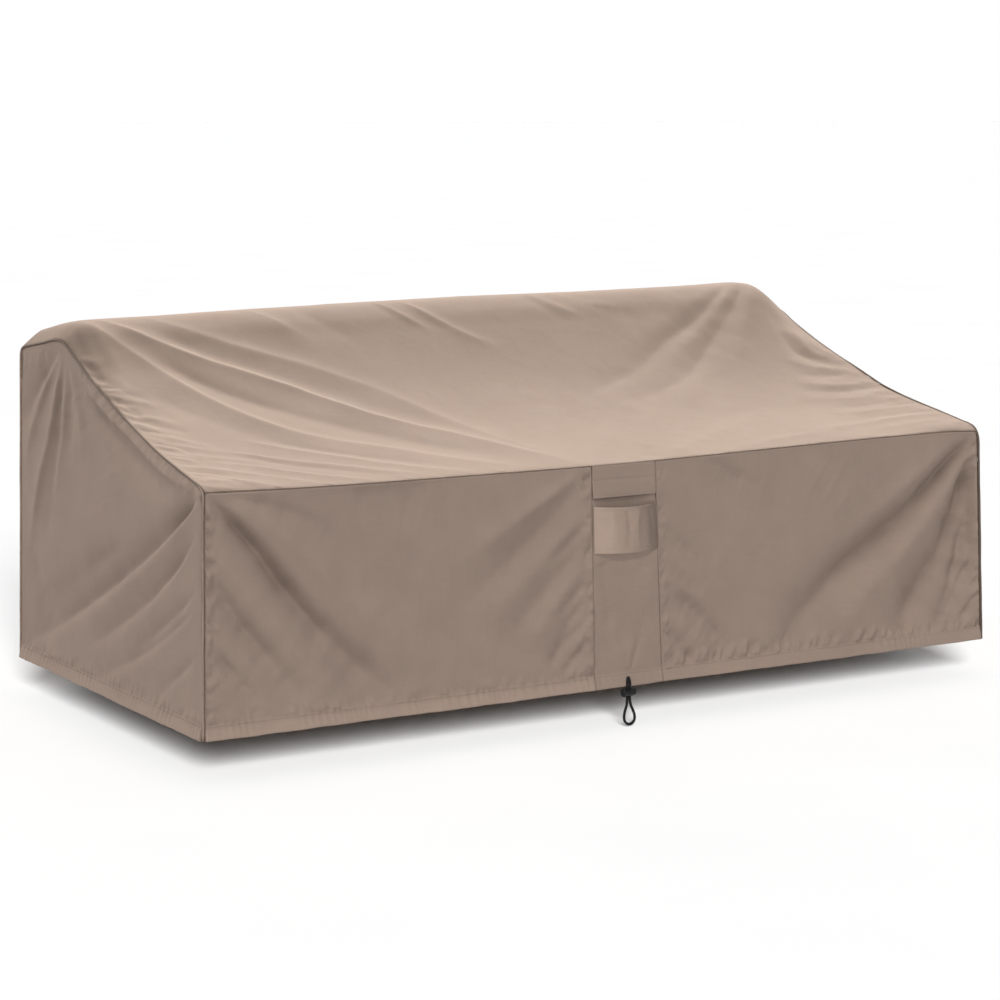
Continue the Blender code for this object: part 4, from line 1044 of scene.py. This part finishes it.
def woven():
    """Matt taupe cloth in a plain weave, with slubs, blotches, small creases, pale crests from wear, painted
    shade where it sinks in and a painted highlight on the hems.
    """
    n = material("woven_cloth")
    weave = n.attribute("weave", "Vector")
    place = n.place()
    blotch = n.noise(place, 4.5, 3.0, 0.55)
    patch = n.noise(place, 19.0, 3.0, 0.6)
    warp_slub = n.noise(n.stretched(weave, 420.0, 16.0, 1.0), 1.0)
    weft_slub = n.noise(n.stretched(weave, 14.0, 460.0, 1.0), 1.0)
    cell = n.put("ShaderNodeTexChecker", {"Vector": weave, "Scale": 1 / THREAD_PITCH}).outputs["Fac"]
    # the colours of a mix node are its sockets 6 and 7, and its output 2
    colours = {0: n.spread(blotch, 0.0, 1.0), 6: (*BASE, 1), 7: (*BASE_PALE, 1)}
    mixed = n.put("ShaderNodeMix", colours, data_type="RGBA").outputs[2]
    # the fold mark: crests paler from wear, sunken cloth darker as painted shade, hems lighter as painted
    # highlight
    crest = n.ranged(n.attribute("worn"), -1.0, 4.0, 0.965, 1.165)
    tint = n.math("MULTIPLY_ADD", cell, 0.05, 0.975)
    colour = n.multiplied(mixed, n.spread(patch, 0.97, 1.03), n.spread(warp_slub, 0.982, 1.018),
                          n.spread(weft_slub, 0.982, 1.018), crest, tint)
    threads = [n.math("ABSOLUTE", n.wave(n.math("MULTIPLY", part, math.pi / THREAD_PITCH)))
               for part in n.parts(weave)[:2]]
    relief = n.math("ADD", n.math("MULTIPLY", *threads), n.math("MULTIPLY", warp_slub, 0.8))
    fine = n.bump(relief, 0.35, 0.00012)
    scaled = n.put("ShaderNodeVectorMath", {0: place, 1: (31.0, 27.0, 34.0)}, operation="MULTIPLY")
    creases = n.noise(scaled.outputs[0], 1.0, 4.0, 0.62, 0.6)
    return n.surface(Base_Color=colour, Roughness=n.spread(patch, 0.74, 0.88), Specular_IOR_Level=0.06,
                     Sheen_Weight=0.02, Sheen_Roughness=0.45,
                     Normal=n.bump(creases, 0.5, 0.0014, Normal=fine))


def piping_look():
    """Dark brown cloth wrapped around a filler, its weave turned across the run, with a painted highlight at
    its corners.
    """
    n = material("piping_cloth")
    weave = n.attribute("weave", "Vector")
    along = n.noise(n.stretched(weave, 90.0, 3.0, 1.0), 1.0, 3.0)
    blotch = n.noise(n.place(), 12.0)
    # painted highlight where the corner piping faces out and forward
    pale = n.math("MULTIPLY_ADD", n.attribute("corner"), 1.15, 1.0)
    colour = n.multiplied(n.colour(PIPING_COLOUR), pale, n.spread(along, 0.88, 1.12),
                          n.spread(blotch, 0.90, 1.10))
    turns = n.parts(weave)
    lines = n.wave(n.math("MULTIPLY", turns[0], 2 * math.pi / PIPING_PITCH),
                   n.math("MULTIPLY", turns[1], 4 * math.pi))
    relief = n.math("ADD", lines, n.math("MULTIPLY", along, 3.0))
    return n.surface(Base_Color=colour, Roughness=n.spread(along, 0.70, 0.86), Specular_IOR_Level=0.3,
                     Normal=n.bump(relief, 0.4, 0.00012))


def thread_look():
    """Sewing thread, twisted."""
    n = material("sewing_thread")
    tone = n.noise(n.stretched(n.attribute("weave", "Vector"), 60.0, 20.0, 1.0), 1.0)
    return n.surface(Base_Color=n.multiplied(n.colour(THREAD_COLOUR), n.spread(tone, 0.85, 1.15)),
                     Roughness=n.spread(tone, 0.55, 0.75), Sheen_Weight=0.1)


def cord_look():
    """Black braided cord: two sets of strands that wind around it both ways."""
    n = material("cord_black")
    weave = n.attribute("weave", "Vector")
    turns = n.parts(weave)
    along = n.math("MULTIPLY", turns[0], 2 * math.pi / BRAID_PITCH)
    around = [n.math("MULTIPLY", turns[1], way * 2 * math.pi * BRAID_STRANDS) for way in (1, -1)]
    braid = n.math("MAXIMUM", n.wave(along, around[0]), n.wave(along, around[1]))
    fuzz = n.noise(n.stretched(weave, 900.0, 9.0, 1.0), 1.0, 3.0)
    shade = n.math("MULTIPLY_ADD", braid, 0.22, 0.85)
    return n.surface(Base_Color=n.multiplied(n.colour(CORD_COLOUR), shade, n.spread(fuzz, 0.8, 1.25)),
                     Roughness=n.spread(fuzz, 0.62, 0.82), Specular_IOR_Level=0.25,
                     Normal=n.bump(braid, 0.8, 0.00025))


def plastic_look():
    """Black moulded plastic with a fine grain and faint scuffs."""
    n = material("plastic_black")
    place = n.place()
    grain = n.noise(place, 2600.0)
    scuff = n.noise(n.stretched(place, 300.0, 900.0, 240.0), 1.0, 4.0, 0.7)
    return n.surface(Base_Color=n.multiplied(n.colour(PLASTIC_COLOUR), n.spread(scuff, 0.85, 1.3)),
                     Roughness=n.spread(scuff, 0.40, 0.56), Specular_IOR_Level=0.28,
                     Normal=n.bump(n.math("ADD", grain, scuff), 0.25, 0.0001))


# ---------------------------------------------------------------- camera, floor and light

SENSOR = 36  # mm
LENS = 95.84  # mm
CAMERA_PLACE = (-3.192, -5.515, 0.43582)
CAMERA_DOWN = 8.234  # degrees
CAMERA_TURN = -31.2714  # degrees
SIGHT = 1200  # how far it sees


def camera():
    """At the photograph's viewing angle."""
    made = bpy.data.objects.new("camera", bpy.data.cameras.new("camera"))
    made.data.sensor_width = SENSOR
    made.data.lens = LENS
    made.data.clip_end = SIGHT
    made.location = CAMERA_PLACE
    made.rotation_euler = (math.radians(90 - CAMERA_DOWN), 0, math.radians(CAMERA_TURN))
    show(made)
    bpy.context.scene.camera = made


FLOOR_HEIGHT = -0.0908
FLOOR_SIZE = 400
LIGHTS = (
    # name, from where, how wide in degrees, irradiance / pi, what it lights, whether with shadows
    ("key", (0.42, 0.47, 0.78), 44, 2.64, "top", True),
    ("top_fill", (-0.85, -0.35, 0.39), 60, 0.23, "top", True),
    ("left", (-0.45, 0.35, 0.82), 34, 0.99, "sides", True),
    ("front", (-0.30, -0.34, 0.89), 30, 0.72, "fronts", True),
    ("low_front", (-0.20, -0.80, 0.57), 6, 0.26, "fronts", True),
    ("handle", (-0.75, -0.40, 0.52), 30, 1.25, "strap", True),
    ("rear", (0.55, 0.55, 0.63), 40, 0.80, "rear", True),
    ("ground", (-0.40, -0.83, 0.39), 20, 2.24, "ground", True),
    ("under", (0.0, 0.0, 1.0), 60, 0.02, "ground", False),
)
WARM = (1.0, 0.984, 0.946)
SKY = 0.20  # radiance overhead
HAZE = 0.62  # all around at eye level
BACKDROP = 1.0  # behind the cover
WAY_BACK = (0.52, 0.854, 0.0)
BACKDROP_EDGES = (0.60, 0.92)  # cosines of the angle to the way back
SKY_EDGES = (0.12, 0.40)  # sines of the height over eye level


def floor():
    """A plain pale floor just under the cord's loop."""
    shape = bmesh.new()
    bmesh.ops.create_grid(shape, x_segments=1, y_segments=1, size=FLOOR_SIZE)
    ground = bpy.data.objects.new("floor", mesh_from("floor", shape))
    ground.location = (0, 0, OFFSET[2] + FLOOR_HEIGHT)
    n = material("floor")
    tone = n.spread(n.noise(n.place(), 1.3), 0.89, 0.91)
    grey = n.put("ShaderNodeCombineColor", {0: tone, 1: tone, 2: tone}).outputs[0]
    ground.data.materials.append(n.surface(Base_Color=grey, Roughness=0.9, Specular_IOR_Level=0.1))
    show(ground)
    return ground


def room():
    """A pale room: brightest behind the cover, hazy all around and dimmer overhead."""
    n = Nodes(bpy.data.worlds.new("studio"), "Background")
    way = n.place("Generated")
    towards = n.put("ShaderNodeVectorMath", {0: way, 1: WAY_BACK}, operation="DOT_PRODUCT").outputs["Value"]
    level = n.ranged(n.parts(way)[2], *SKY_EDGES, 1.0, 0.0, interpolation_type="SMOOTHSTEP")
    glow = n.ranged(towards, *BACKDROP_EDGES, HAZE, BACKDROP, interpolation_type="SMOOTHSTEP")
    strength = n.math("MULTIPLY_ADD", n.math("SUBTRACT", glow, SKY), level, SKY)
    bpy.context.scene.world = n.surface(Strength=strength, Color=(1, 1, 1, 1))
    bpy.context.scene.view_settings.view_transform = "Standard"


def group_of(name, objects):
    group = bpy.data.collections.new(name)
    for obj in objects:
        group.objects.link(obj)
    return group


def lights(lit):
    """Wide soft lights, each on its own part of the set. The handle throws no shadow under the front one."""
    for name, source, spread, power, part, shadows in LIGHTS:
        made = bpy.data.objects.new(name, bpy.data.lights.new(name, "SUN"))
        made.data.angle = math.radians(spread)
        made.data.energy = power * math.pi
        made.data.use_shadow = shadows
        made.data.color = WARM if part == "top" else (1, 1, 1)
        made.rotation_euler = Vector(source).to_track_quat("Z", "Y").to_euler()
        show(made)
        made.light_linking.receiver_collection = group_of("lit by " + name, lit[part])
        if name == "front":
            made.light_linking.blocker_collection = group_of("before " + name, lit[part] + lit["top"])


# ---------------------------------------------------------------- the pieces

CORD_SAMPLES = 161
LOCK_STEPS = 40
SLOT_ROUNDING = 0.0028
SHARP = 40  # degrees


def cord_route():
    """The cord's smooth route, down one strand, round the loop and up the other, and its length."""
    side, forward, height = np.array(CORD_ROUTE).T
    lean = LOOP_LEAN * ease((-0.026 - height) / 0.06)
    strands = [np.stack([CORD_X + lean + way * side, FACE_Y - forward, height], axis=1) for way in (-1, 1)]
    knots = np.concatenate([strands[0], strands[1][-2::-1]])
    far = lengths(knots)
    return through(np.column_stack([far, knots]), np.linspace(0, far[-1], CORD_SAMPLES)), far[-1]


def rounded(profile, times=2):
    """A profile with its corners cut smaller and smaller."""
    line = np.array(profile, float)
    for _ in range(times):
        cut = np.stack([line[:-1] * 0.82 + line[1:] * 0.18, line[:-1] * 0.18 + line[1:] * 0.82], axis=1)
        line = np.concatenate([line[:1], cut.reshape(-1, 2), line[-1:]])
    line[[0, -1], 1] = 0
    return line


def turned(name, node, profile, left, look):
    """A solid turned about the lock's long axis."""
    shape = bmesh.new()
    at = OFFSET + (0, CORD_Y, LOCK_HEIGHT)
    line = [shape.verts.new((at[0] + left + along, at[1], at[2] + radius))
            for along, radius in rounded(profile)]
    edges = [shape.edges.new(pair) for pair in zip(line, line[1:])]
    bmesh.ops.spin(shape, geom=line + edges, cent=at, axis=(1, 0, 0), angle=2 * math.pi, steps=LOCK_STEPS)
    bmesh.ops.remove_doubles(shape, verts=shape.verts, dist=1e-6)
    bmesh.ops.recalc_face_normals(shape, faces=shape.faces)
    mesh = mesh_from(name, shape)
    mesh.shade_smooth()
    return add(name, mesh, look, "plastic_black", node)


def cord_lock(look):
    """The barrel, cut by an upright slot for both strands, and its press button."""
    barrel = turned("lock_barrel", "cord_lock_barrel", BARREL_PROFILE, LOCK_LEFT, look)
    shape = bmesh.new()
    at = OFFSET + (CORD_X, CORD_Y, LOCK_HEIGHT)
    size = Matrix.Diagonal((*SLOT_SIZE, 0.03, 1))
    bmesh.ops.create_cube(shape, size=1, matrix=Matrix.Translation(at) @ size)
    upright = [edge for edge in shape.edges if abs(edge.verts[0].co.z - edge.verts[1].co.z) > 0.01]
    bmesh.ops.bevel(shape, geom=upright, offset=SLOT_ROUNDING, segments=5, affect="EDGES", profile=0.5)
    cutter = bpy.data.objects.new("lock_slot", mesh_from("lock_slot", shape))
    show(cutter)
    cut = barrel.modifiers.new("slot", "BOOLEAN")
    cut.object = cutter
    cut.solver = "EXACT"
    evaluated = barrel.evaluated_get(bpy.context.evaluated_depsgraph_get())
    done = bpy.data.meshes.new_from_object(evaluated)
    barrel.modifiers.clear()
    barrel.data = done
    bpy.data.objects.remove(cutter)
    done.set_sharp_from_angle(angle=math.radians(SHARP))
    button = turned("lock_button", "cord_lock_button", BUTTON_PROFILE, BUTTON_LEFT, look)
    return [barrel, button]


def drawcord(look, with_pieces):
    """The cord, drawn thin where it goes into the hem."""
    route, length = cord_route()
    taper = 0.6 + 0.4 * ease((0.0225 - route[:, 2]) / 0.008)
    cord = tube("draw_cord", route, CORD_RADIUS * 1.1 * taper, 16, look, "cord_black", "drawcord")


def top_cloth(look, thread):
    """The one-piece top, its columns closest at the left, where most of the folds are."""
    rows = graded(-HALF_DEPTH, HALF_DEPTH, ((0.33, 0.0066), (0.48, 0.0090)))
    across = graded(-1.0, 1.0, ((0.0, 0.0058), (0.55, 0.0086), (1.0, 0.0068)))
    y = np.repeat(rows[:, None], len(across), axis=1)
    x = across * (half_width(y) - PIPING_ROOM)
    fade = from_ends(x, -HALF_WIDTH, HALF_WIDTH) * from_ends(y, -HALF_DEPTH, HALF_DEPTH, 0.016)
    fade *= ease((half_width(y) - x) / TOP_CALM_WIDTH) * (1 - RIDGE_CALM * ease((y - CALM_FROM) / CALM_RUN))
    lift = fold_lift(TOP_FOLDS, x, y, TOP_FOLD_START) * fade * TOP_FOLD_SHARE
    lift += crumple(x, y, 40) * from_ends(y, -HALF_DEPTH, HALF_DEPTH) * 0.5
    lift += fold_lift(pucker_folds(PUCKERS["top"]), x, y, PUCKER_START)
    lift -= rolled(HALF_WIDTH * (1 - np.abs(across))) * 0.7 + rolled(HALF_DEPTH - np.abs(y)) * 0.5
    run = lengths(np.stack([rows, top_height(0 * rows, rows)], axis=1))[:, None]
    plain = np.stack([x, y, top_height(x, y)], axis=-1)
    sheet, points = cloth("top_cloth", "top_panel", plain, lift, (x, run), look)
    sewn = stitching("top_stitches", points, beside_seams(rows, -HALF_DEPTH, HALF_DEPTH),
                     beside_seams(across, -1, 1), thread)


def front_cloth(name, node, low, high, seed, look, thread):
    """The front beside the strip, from low to high."""
    columns = spaced(low, high, 0.0038)
    top = front_seam_height(columns)
    upper = upper_edge(top)
    x, heights = wall_grid(columns, upper, 0.0064)
    beside = np.minimum(x - low, high - x)
    fade = from_ends(x, low, high) * from_ends(heights, FOLDS_END, top, FRONT_FADE)
    lift = wall_lift(FRONT_FOLDS, PUCKERS["front"], x, heights, fade, seed, FRONT_FOLD_START,
                     gathered=0.3 + 0.7 * ease(beside / 0.008))
    lift -= rolled(beside) + rolled(upper - heights) * 1.2
    plain = front_wall(x, heights, top)
    plain[..., 2] += hem_wave(x, heights, seed)
    # the painted highlight on the hem is strong on the left front and weak on the right
    run, painted_hem_highlight = ("fall", FRONT_LEFT_HEM_HIGHLIGHT) if low < 0 else ("rise", FRONT_RIGHT_HEM_HIGHLIGHT)
    sheet, points = cloth(name, node, plain, lift, (x, heights), look, run, hem=True, painted_hem_highlight=painted_hem_highlight)
    rows = [nearest(heights[:, 0], height) for height in (HEM_STITCH, upper[0] - SEAM_STITCH)]
    sewn = stitching(name + "_stitches", points, rows, beside_seams(columns, low, high), thread)


def strip_cloth(look, thread):
    """The centre strip's cloth, set back where it passes under the vent flap."""
    edge = STRIP_HALF_WIDTH + 0.0010
    columns = spaced(-edge, edge, 0.0045)
    top = front_seam_height(columns)
    x, heights = wall_grid(columns, upper_edge(top), 0.0048)
    set_back = (CLOTH + 2 * SEAM_GAP) * ease((heights - FLAP_EDGE_HEIGHT + 0.03) / 0.03)
    fade = from_ends(x, -edge, edge, 0.014)
    lift = fold_lift(CENTRE_FOLDS, x, heights, SMALL_FOLD_START) * fade + crumple(x, heights, 70) * 0.6 * fade
    lift += hem_lift(x, heights, 71) - set_back - rolled(edge - 0.0006 - np.abs(x)) * 1.25
    plain = front_wall(x, heights, top)
    plain[..., 2] += hem_wave(x, heights, 60)
    sheet, points = cloth("strip_cloth", "front_panel_centre", plain, lift, (x, heights), look, hem=True)
    sewn = stitching("strip_stitches", points, [nearest(heights[:, 0], HEM_STITCH)],
                     beside_seams(columns, -edge, edge), thread, shown=heights[:, 0] < FLAP_EDGE_HEIGHT)


def flap_cloth(look, thread):
    """The flap over the strip: sewn down along a line, and free below it."""
    edge = STRIP_HALF_WIDTH - 0.0002
    columns = spaced(-edge, edge, 0.0045)
    top = front_seam_height(columns)
    upper = upper_edge(top)
    tall = float(upper.max()) - FLAP_EDGE_HEIGHT
    steps = np.concatenate([FREE_STEPS, np.linspace(0.010, tall, 24)]) / tall
    heights = FLAP_EDGE_HEIGHT + steps[:, None] * (upper - FLAP_EDGE_HEIGHT)
    x = np.repeat(columns[None], len(heights), axis=0)
    free = np.clip((FLAP_SEAM_HEIGHT - heights) / (FLAP_SEAM_HEIGHT - FLAP_EDGE_HEIGHT), 0, 1)
    lift = FLAP_LIFT * free * (1 - 0.6 * (x / edge) ** 2) + crumple(x, heights, 75) * 0.4
    lift += mottled(x, heights, 0.05, 76) * 0.0012 * free - 0.0007 * dent(heights, FLAP_SEAM_HEIGHT)
    lift -= rolled(top - heights) * 1.2 + rolled(edge - np.abs(x)) * 0.6
    plain = front_wall(x, heights, top)
    sheet, points = cloth("flap_cloth", "vent_flap", plain, lift, (x, heights), look)
    rows = [nearest(heights[:, 0], height) for height in (FLAP_SEAM_HEIGHT, FLAP_EDGE_HEIGHT + 0.006)]
    sewn = stitching("flap_stitches", points, rows, beside_seams(columns, -edge, edge), thread)


def strap_cloth(look, thread):
    """A band across the strip that bows out, so that a hand fits behind it."""
    half = STRIP_HALF_WIDTH - 0.0012
    tall = STRAP_TOP - STRAP_BOTTOM
    inner = np.linspace(0.010, tall - 0.010, 24)
    rows = np.concatenate([FREE_STEPS, inner, tall - FREE_STEPS[::-1]]) + STRAP_BOTTOM
    x, heights = np.meshgrid(spaced(-half, half, 0.0040), rows)
    plain = front_wall(x, heights, front_seam_height(x))
    low = (STRAP_TOP - heights) / tall
    bow = (1 - (np.abs(x) / half) ** 2.2) * (0.86 + 0.14 * low)
    plain[..., 1] -= STRAP_BULGE * bow + CLOTH + 2 * SEAM_GAP
    plain[..., 2] -= 0.0022 * (1 - (x / half) ** 2) * (1 - low)
    beside = np.minimum(heights - STRAP_BOTTOM, STRAP_TOP - heights)
    lift = fold_lift(STRAP_FOLDS, x, heights, SMALL_FOLD_START) + mottled(x, heights * 0.4, 0.03, 80) * 0.0009
    lift += 0.0004 * (1 - ease((beside - 0.006) / 0.001)) - 0.0006 * np.clip(1 - beside / 0.002, 0, 1) ** 2
    lift *= ease((half - np.abs(x)) / 0.006)
    sheet, points = cloth("strap_cloth", "handle_strap", plain, lift, (x, heights), look)
    sewn_rows = [nearest(rows, height) for height in (STRAP_BOTTOM + 0.007, STRAP_TOP - 0.007)]
    sewn = stitching("strap_stitches", points, sewn_rows, [], thread)


def side_cloth(name, node, hand, cell, seed, look, thread):
    """Seen from outside, its columns run from left to right, so that its faces point out."""
    edge = HALF_DEPTH - PIPING_ROOM
    front = -HALF_DEPTH + (CORNER_ROOM if hand < 0 else PIPING_ROOM)
    columns = spaced(front, edge, cell[0])[::hand]
    top = side_seam_height(columns, hand)
    y, heights = wall_grid(columns, top - PIPING_ROOM, cell[1])
    fade = from_ends(y, -HALF_DEPTH, HALF_DEPTH) * from_ends(heights, FOLDS_END, top, SIDE_FADE)
    lift = wall_lift(SIDE_FOLDS, PUCKERS["side"], y, heights, fade, seed, SIDE_FOLD_START)
    lift -= rolled(np.minimum(edge - y, y - front)) + rolled(top - PIPING_ROOM - heights) * 0.7
    plain = side_wall(hand, y, heights, top)
    plain[..., 2] += hem_wave(y, heights, seed)
    sheet, points = cloth(name, node, plain, lift, (y, heights), look, "rise" if hand < 0 else "fall",
                          hem=True, painted_hem_highlight=SIDE_HEM_HIGHLIGHT)
    sewn = stitching(name + "_stitches", points, [nearest(heights[:, 0], HEM_STITCH), -5],
                     beside_seams(columns, -edge, edge), thread)


def back_cloth(look, thread):
    """The back, which the photograph doesn't show: few folds, and the same sewing."""
    edge = HALF_WIDTH - PIPING_ROOM
    columns = spaced(-edge, edge, 0.0100)[::-1]
    top = top_height(columns, np.full_like(columns, HALF_DEPTH))
    x, heights = wall_grid(columns, upper_edge(top), 0.0100)
    fade = from_ends(x, -HALF_WIDTH, HALF_WIDTH) * from_ends(heights, FOLDS_END, top, FRONT_FADE)
    lift = wall_lift(BACK_FOLDS, PUCKERS["back"], x, heights, fade, 90, BACK_FOLD_START, crumpled=1.3)
    lift -= rolled(edge - np.abs(x)) + rolled(top - heights) * 1.2
    sheet, points = cloth("back_cloth", "back_panel", back_wall(x, heights, top), lift, (x, heights), look,
                          hem=True)
    sewn = stitching("back_stitches", points, [nearest(heights[:, 0], HEM_STITCH), -5],
                     beside_seams(columns, -edge, edge), thread)


PIPING_TURN = 0.006  # how far from a corner the piping starts to turn
PIPING_SIDES = 12
CORNER_RUN = 0.05  # over which it thickens towards a corner
RIGHT_CORNER_HIGHLIGHT = 0.3  # how strong the painted highlight on the right side's corners is, as a share of the left side's


def piping(name, node, hand, look):
    """The piping of a side: up the back corner, along the top of the side and down the front corner. Its
    corners carry a painted highlight on the half that faces out and forward.
    """
    rise = np.linspace(0.001, side_seam_height(HALF_DEPTH) - PIPING_TURN, 90)
    run = np.linspace(HALF_DEPTH - PIPING_TURN, PIPING_TURN - HALF_DEPTH, 150)
    fall = np.linspace(side_seam_height(-HALF_DEPTH) - PIPING_TURN, 0.001, 66)
    y = np.concatenate([np.full(len(rise), HALF_DEPTH), run, np.full(len(fall), -HALF_DEPTH)])
    height = np.concatenate([rise, side_seam_height(run, hand), fall])
    route = side_wall(hand, y, height, side_seam_height(y, hand))
    for _ in range(3):
        route[1:-1] = (route[:-2] + route[1:-1] * 2 + route[2:]) / 4
    route += np.stack([mottled(height, y, 0.05, 100 + k) for k in range(3)], axis=-1) * 0.0004
    corner = ease((np.abs(y) - HALF_DEPTH + CORNER_RUN) / CORNER_RUN)
    size = PIPING_RADIUS * (1 + (CORNER_PIPING - 1) * corner)
    size *= 1 + 0.05 * uneven(np.arange(len(route)) / 40, 2)
    obj = tube(name, route, size, PIPING_SIDES, look, "piping_cloth", node)
    points = np.empty(len(obj.data.vertices) * 3)
    obj.data.vertices.foreach_get("co", points)
    out = points.reshape(-1, 3) - np.repeat(route + OFFSET, PIPING_SIDES, axis=0)
    out /= np.repeat(size, PIPING_SIDES)[:, None]
    # painted highlight on the half of the corner piping that faces out and forward, growing towards the
    # corners
    shown = ease((out @ np.array([hand, -1.0, 0.0]) / math.sqrt(2) - 0.66) / 0.24)
    pale = np.repeat(corner, PIPING_SIDES) * shown
    keep(obj.data, "corner", "FLOAT", pale * (RIGHT_CORNER_HIGHLIGHT if hand > 0 else 1.0))


LIT = {
    # the part of the set that a light is for, and how the names of its pieces begin
    "top": ("top",),
    "sides": ("left", "right_piping"),
    "rear": ("right", "back"),
    "strap": ("strap",),
    "fronts": ("front", "strip", "flap", "draw", "lock", "left_piping", "right_piping"),
}


def build():
    camera()
    black_cord = cord_look()
    drawcord(black_cord, cord_lock(plastic_look()))
    taupe = woven()
    brown = piping_look()
    thread = thread_look()
    strip = STRIP_HALF_WIDTH
    left_edge = CORNER_ROOM - HALF_WIDTH
    right_edge = HALF_WIDTH - RIGHT_CORNER_ROOM
    top_cloth(taupe, thread)
    side_cloth("left_cloth", "side_panel_left", -1, (0.0038, 0.0070), 50, taupe, thread)
    side_cloth("right_cloth", "side_panel_right", 1, (0.0070, 0.0100), 55, taupe, thread)
    front_cloth("front_left_cloth", "front_panel_left", left_edge, -strip, 60, taupe, thread)
    front_cloth("front_right_cloth", "front_panel_right", strip, right_edge, 65, taupe, thread)
    for make in (strip_cloth, flap_cloth, strap_cloth, back_cloth):
        make(taupe, thread)
    piping("left_piping", "piping_left", -1, brown)
    piping("right_piping", "piping_right", 1, brown)
    pieces = [obj for obj in bpy.context.scene.objects if obj.type == "MESH"]
    ground = floor()
    room()
    lit = {part: [obj for obj in pieces if obj.name.startswith(names)] for part, names in LIT.items()}
    lights(lit | {"ground": [ground]})


build()
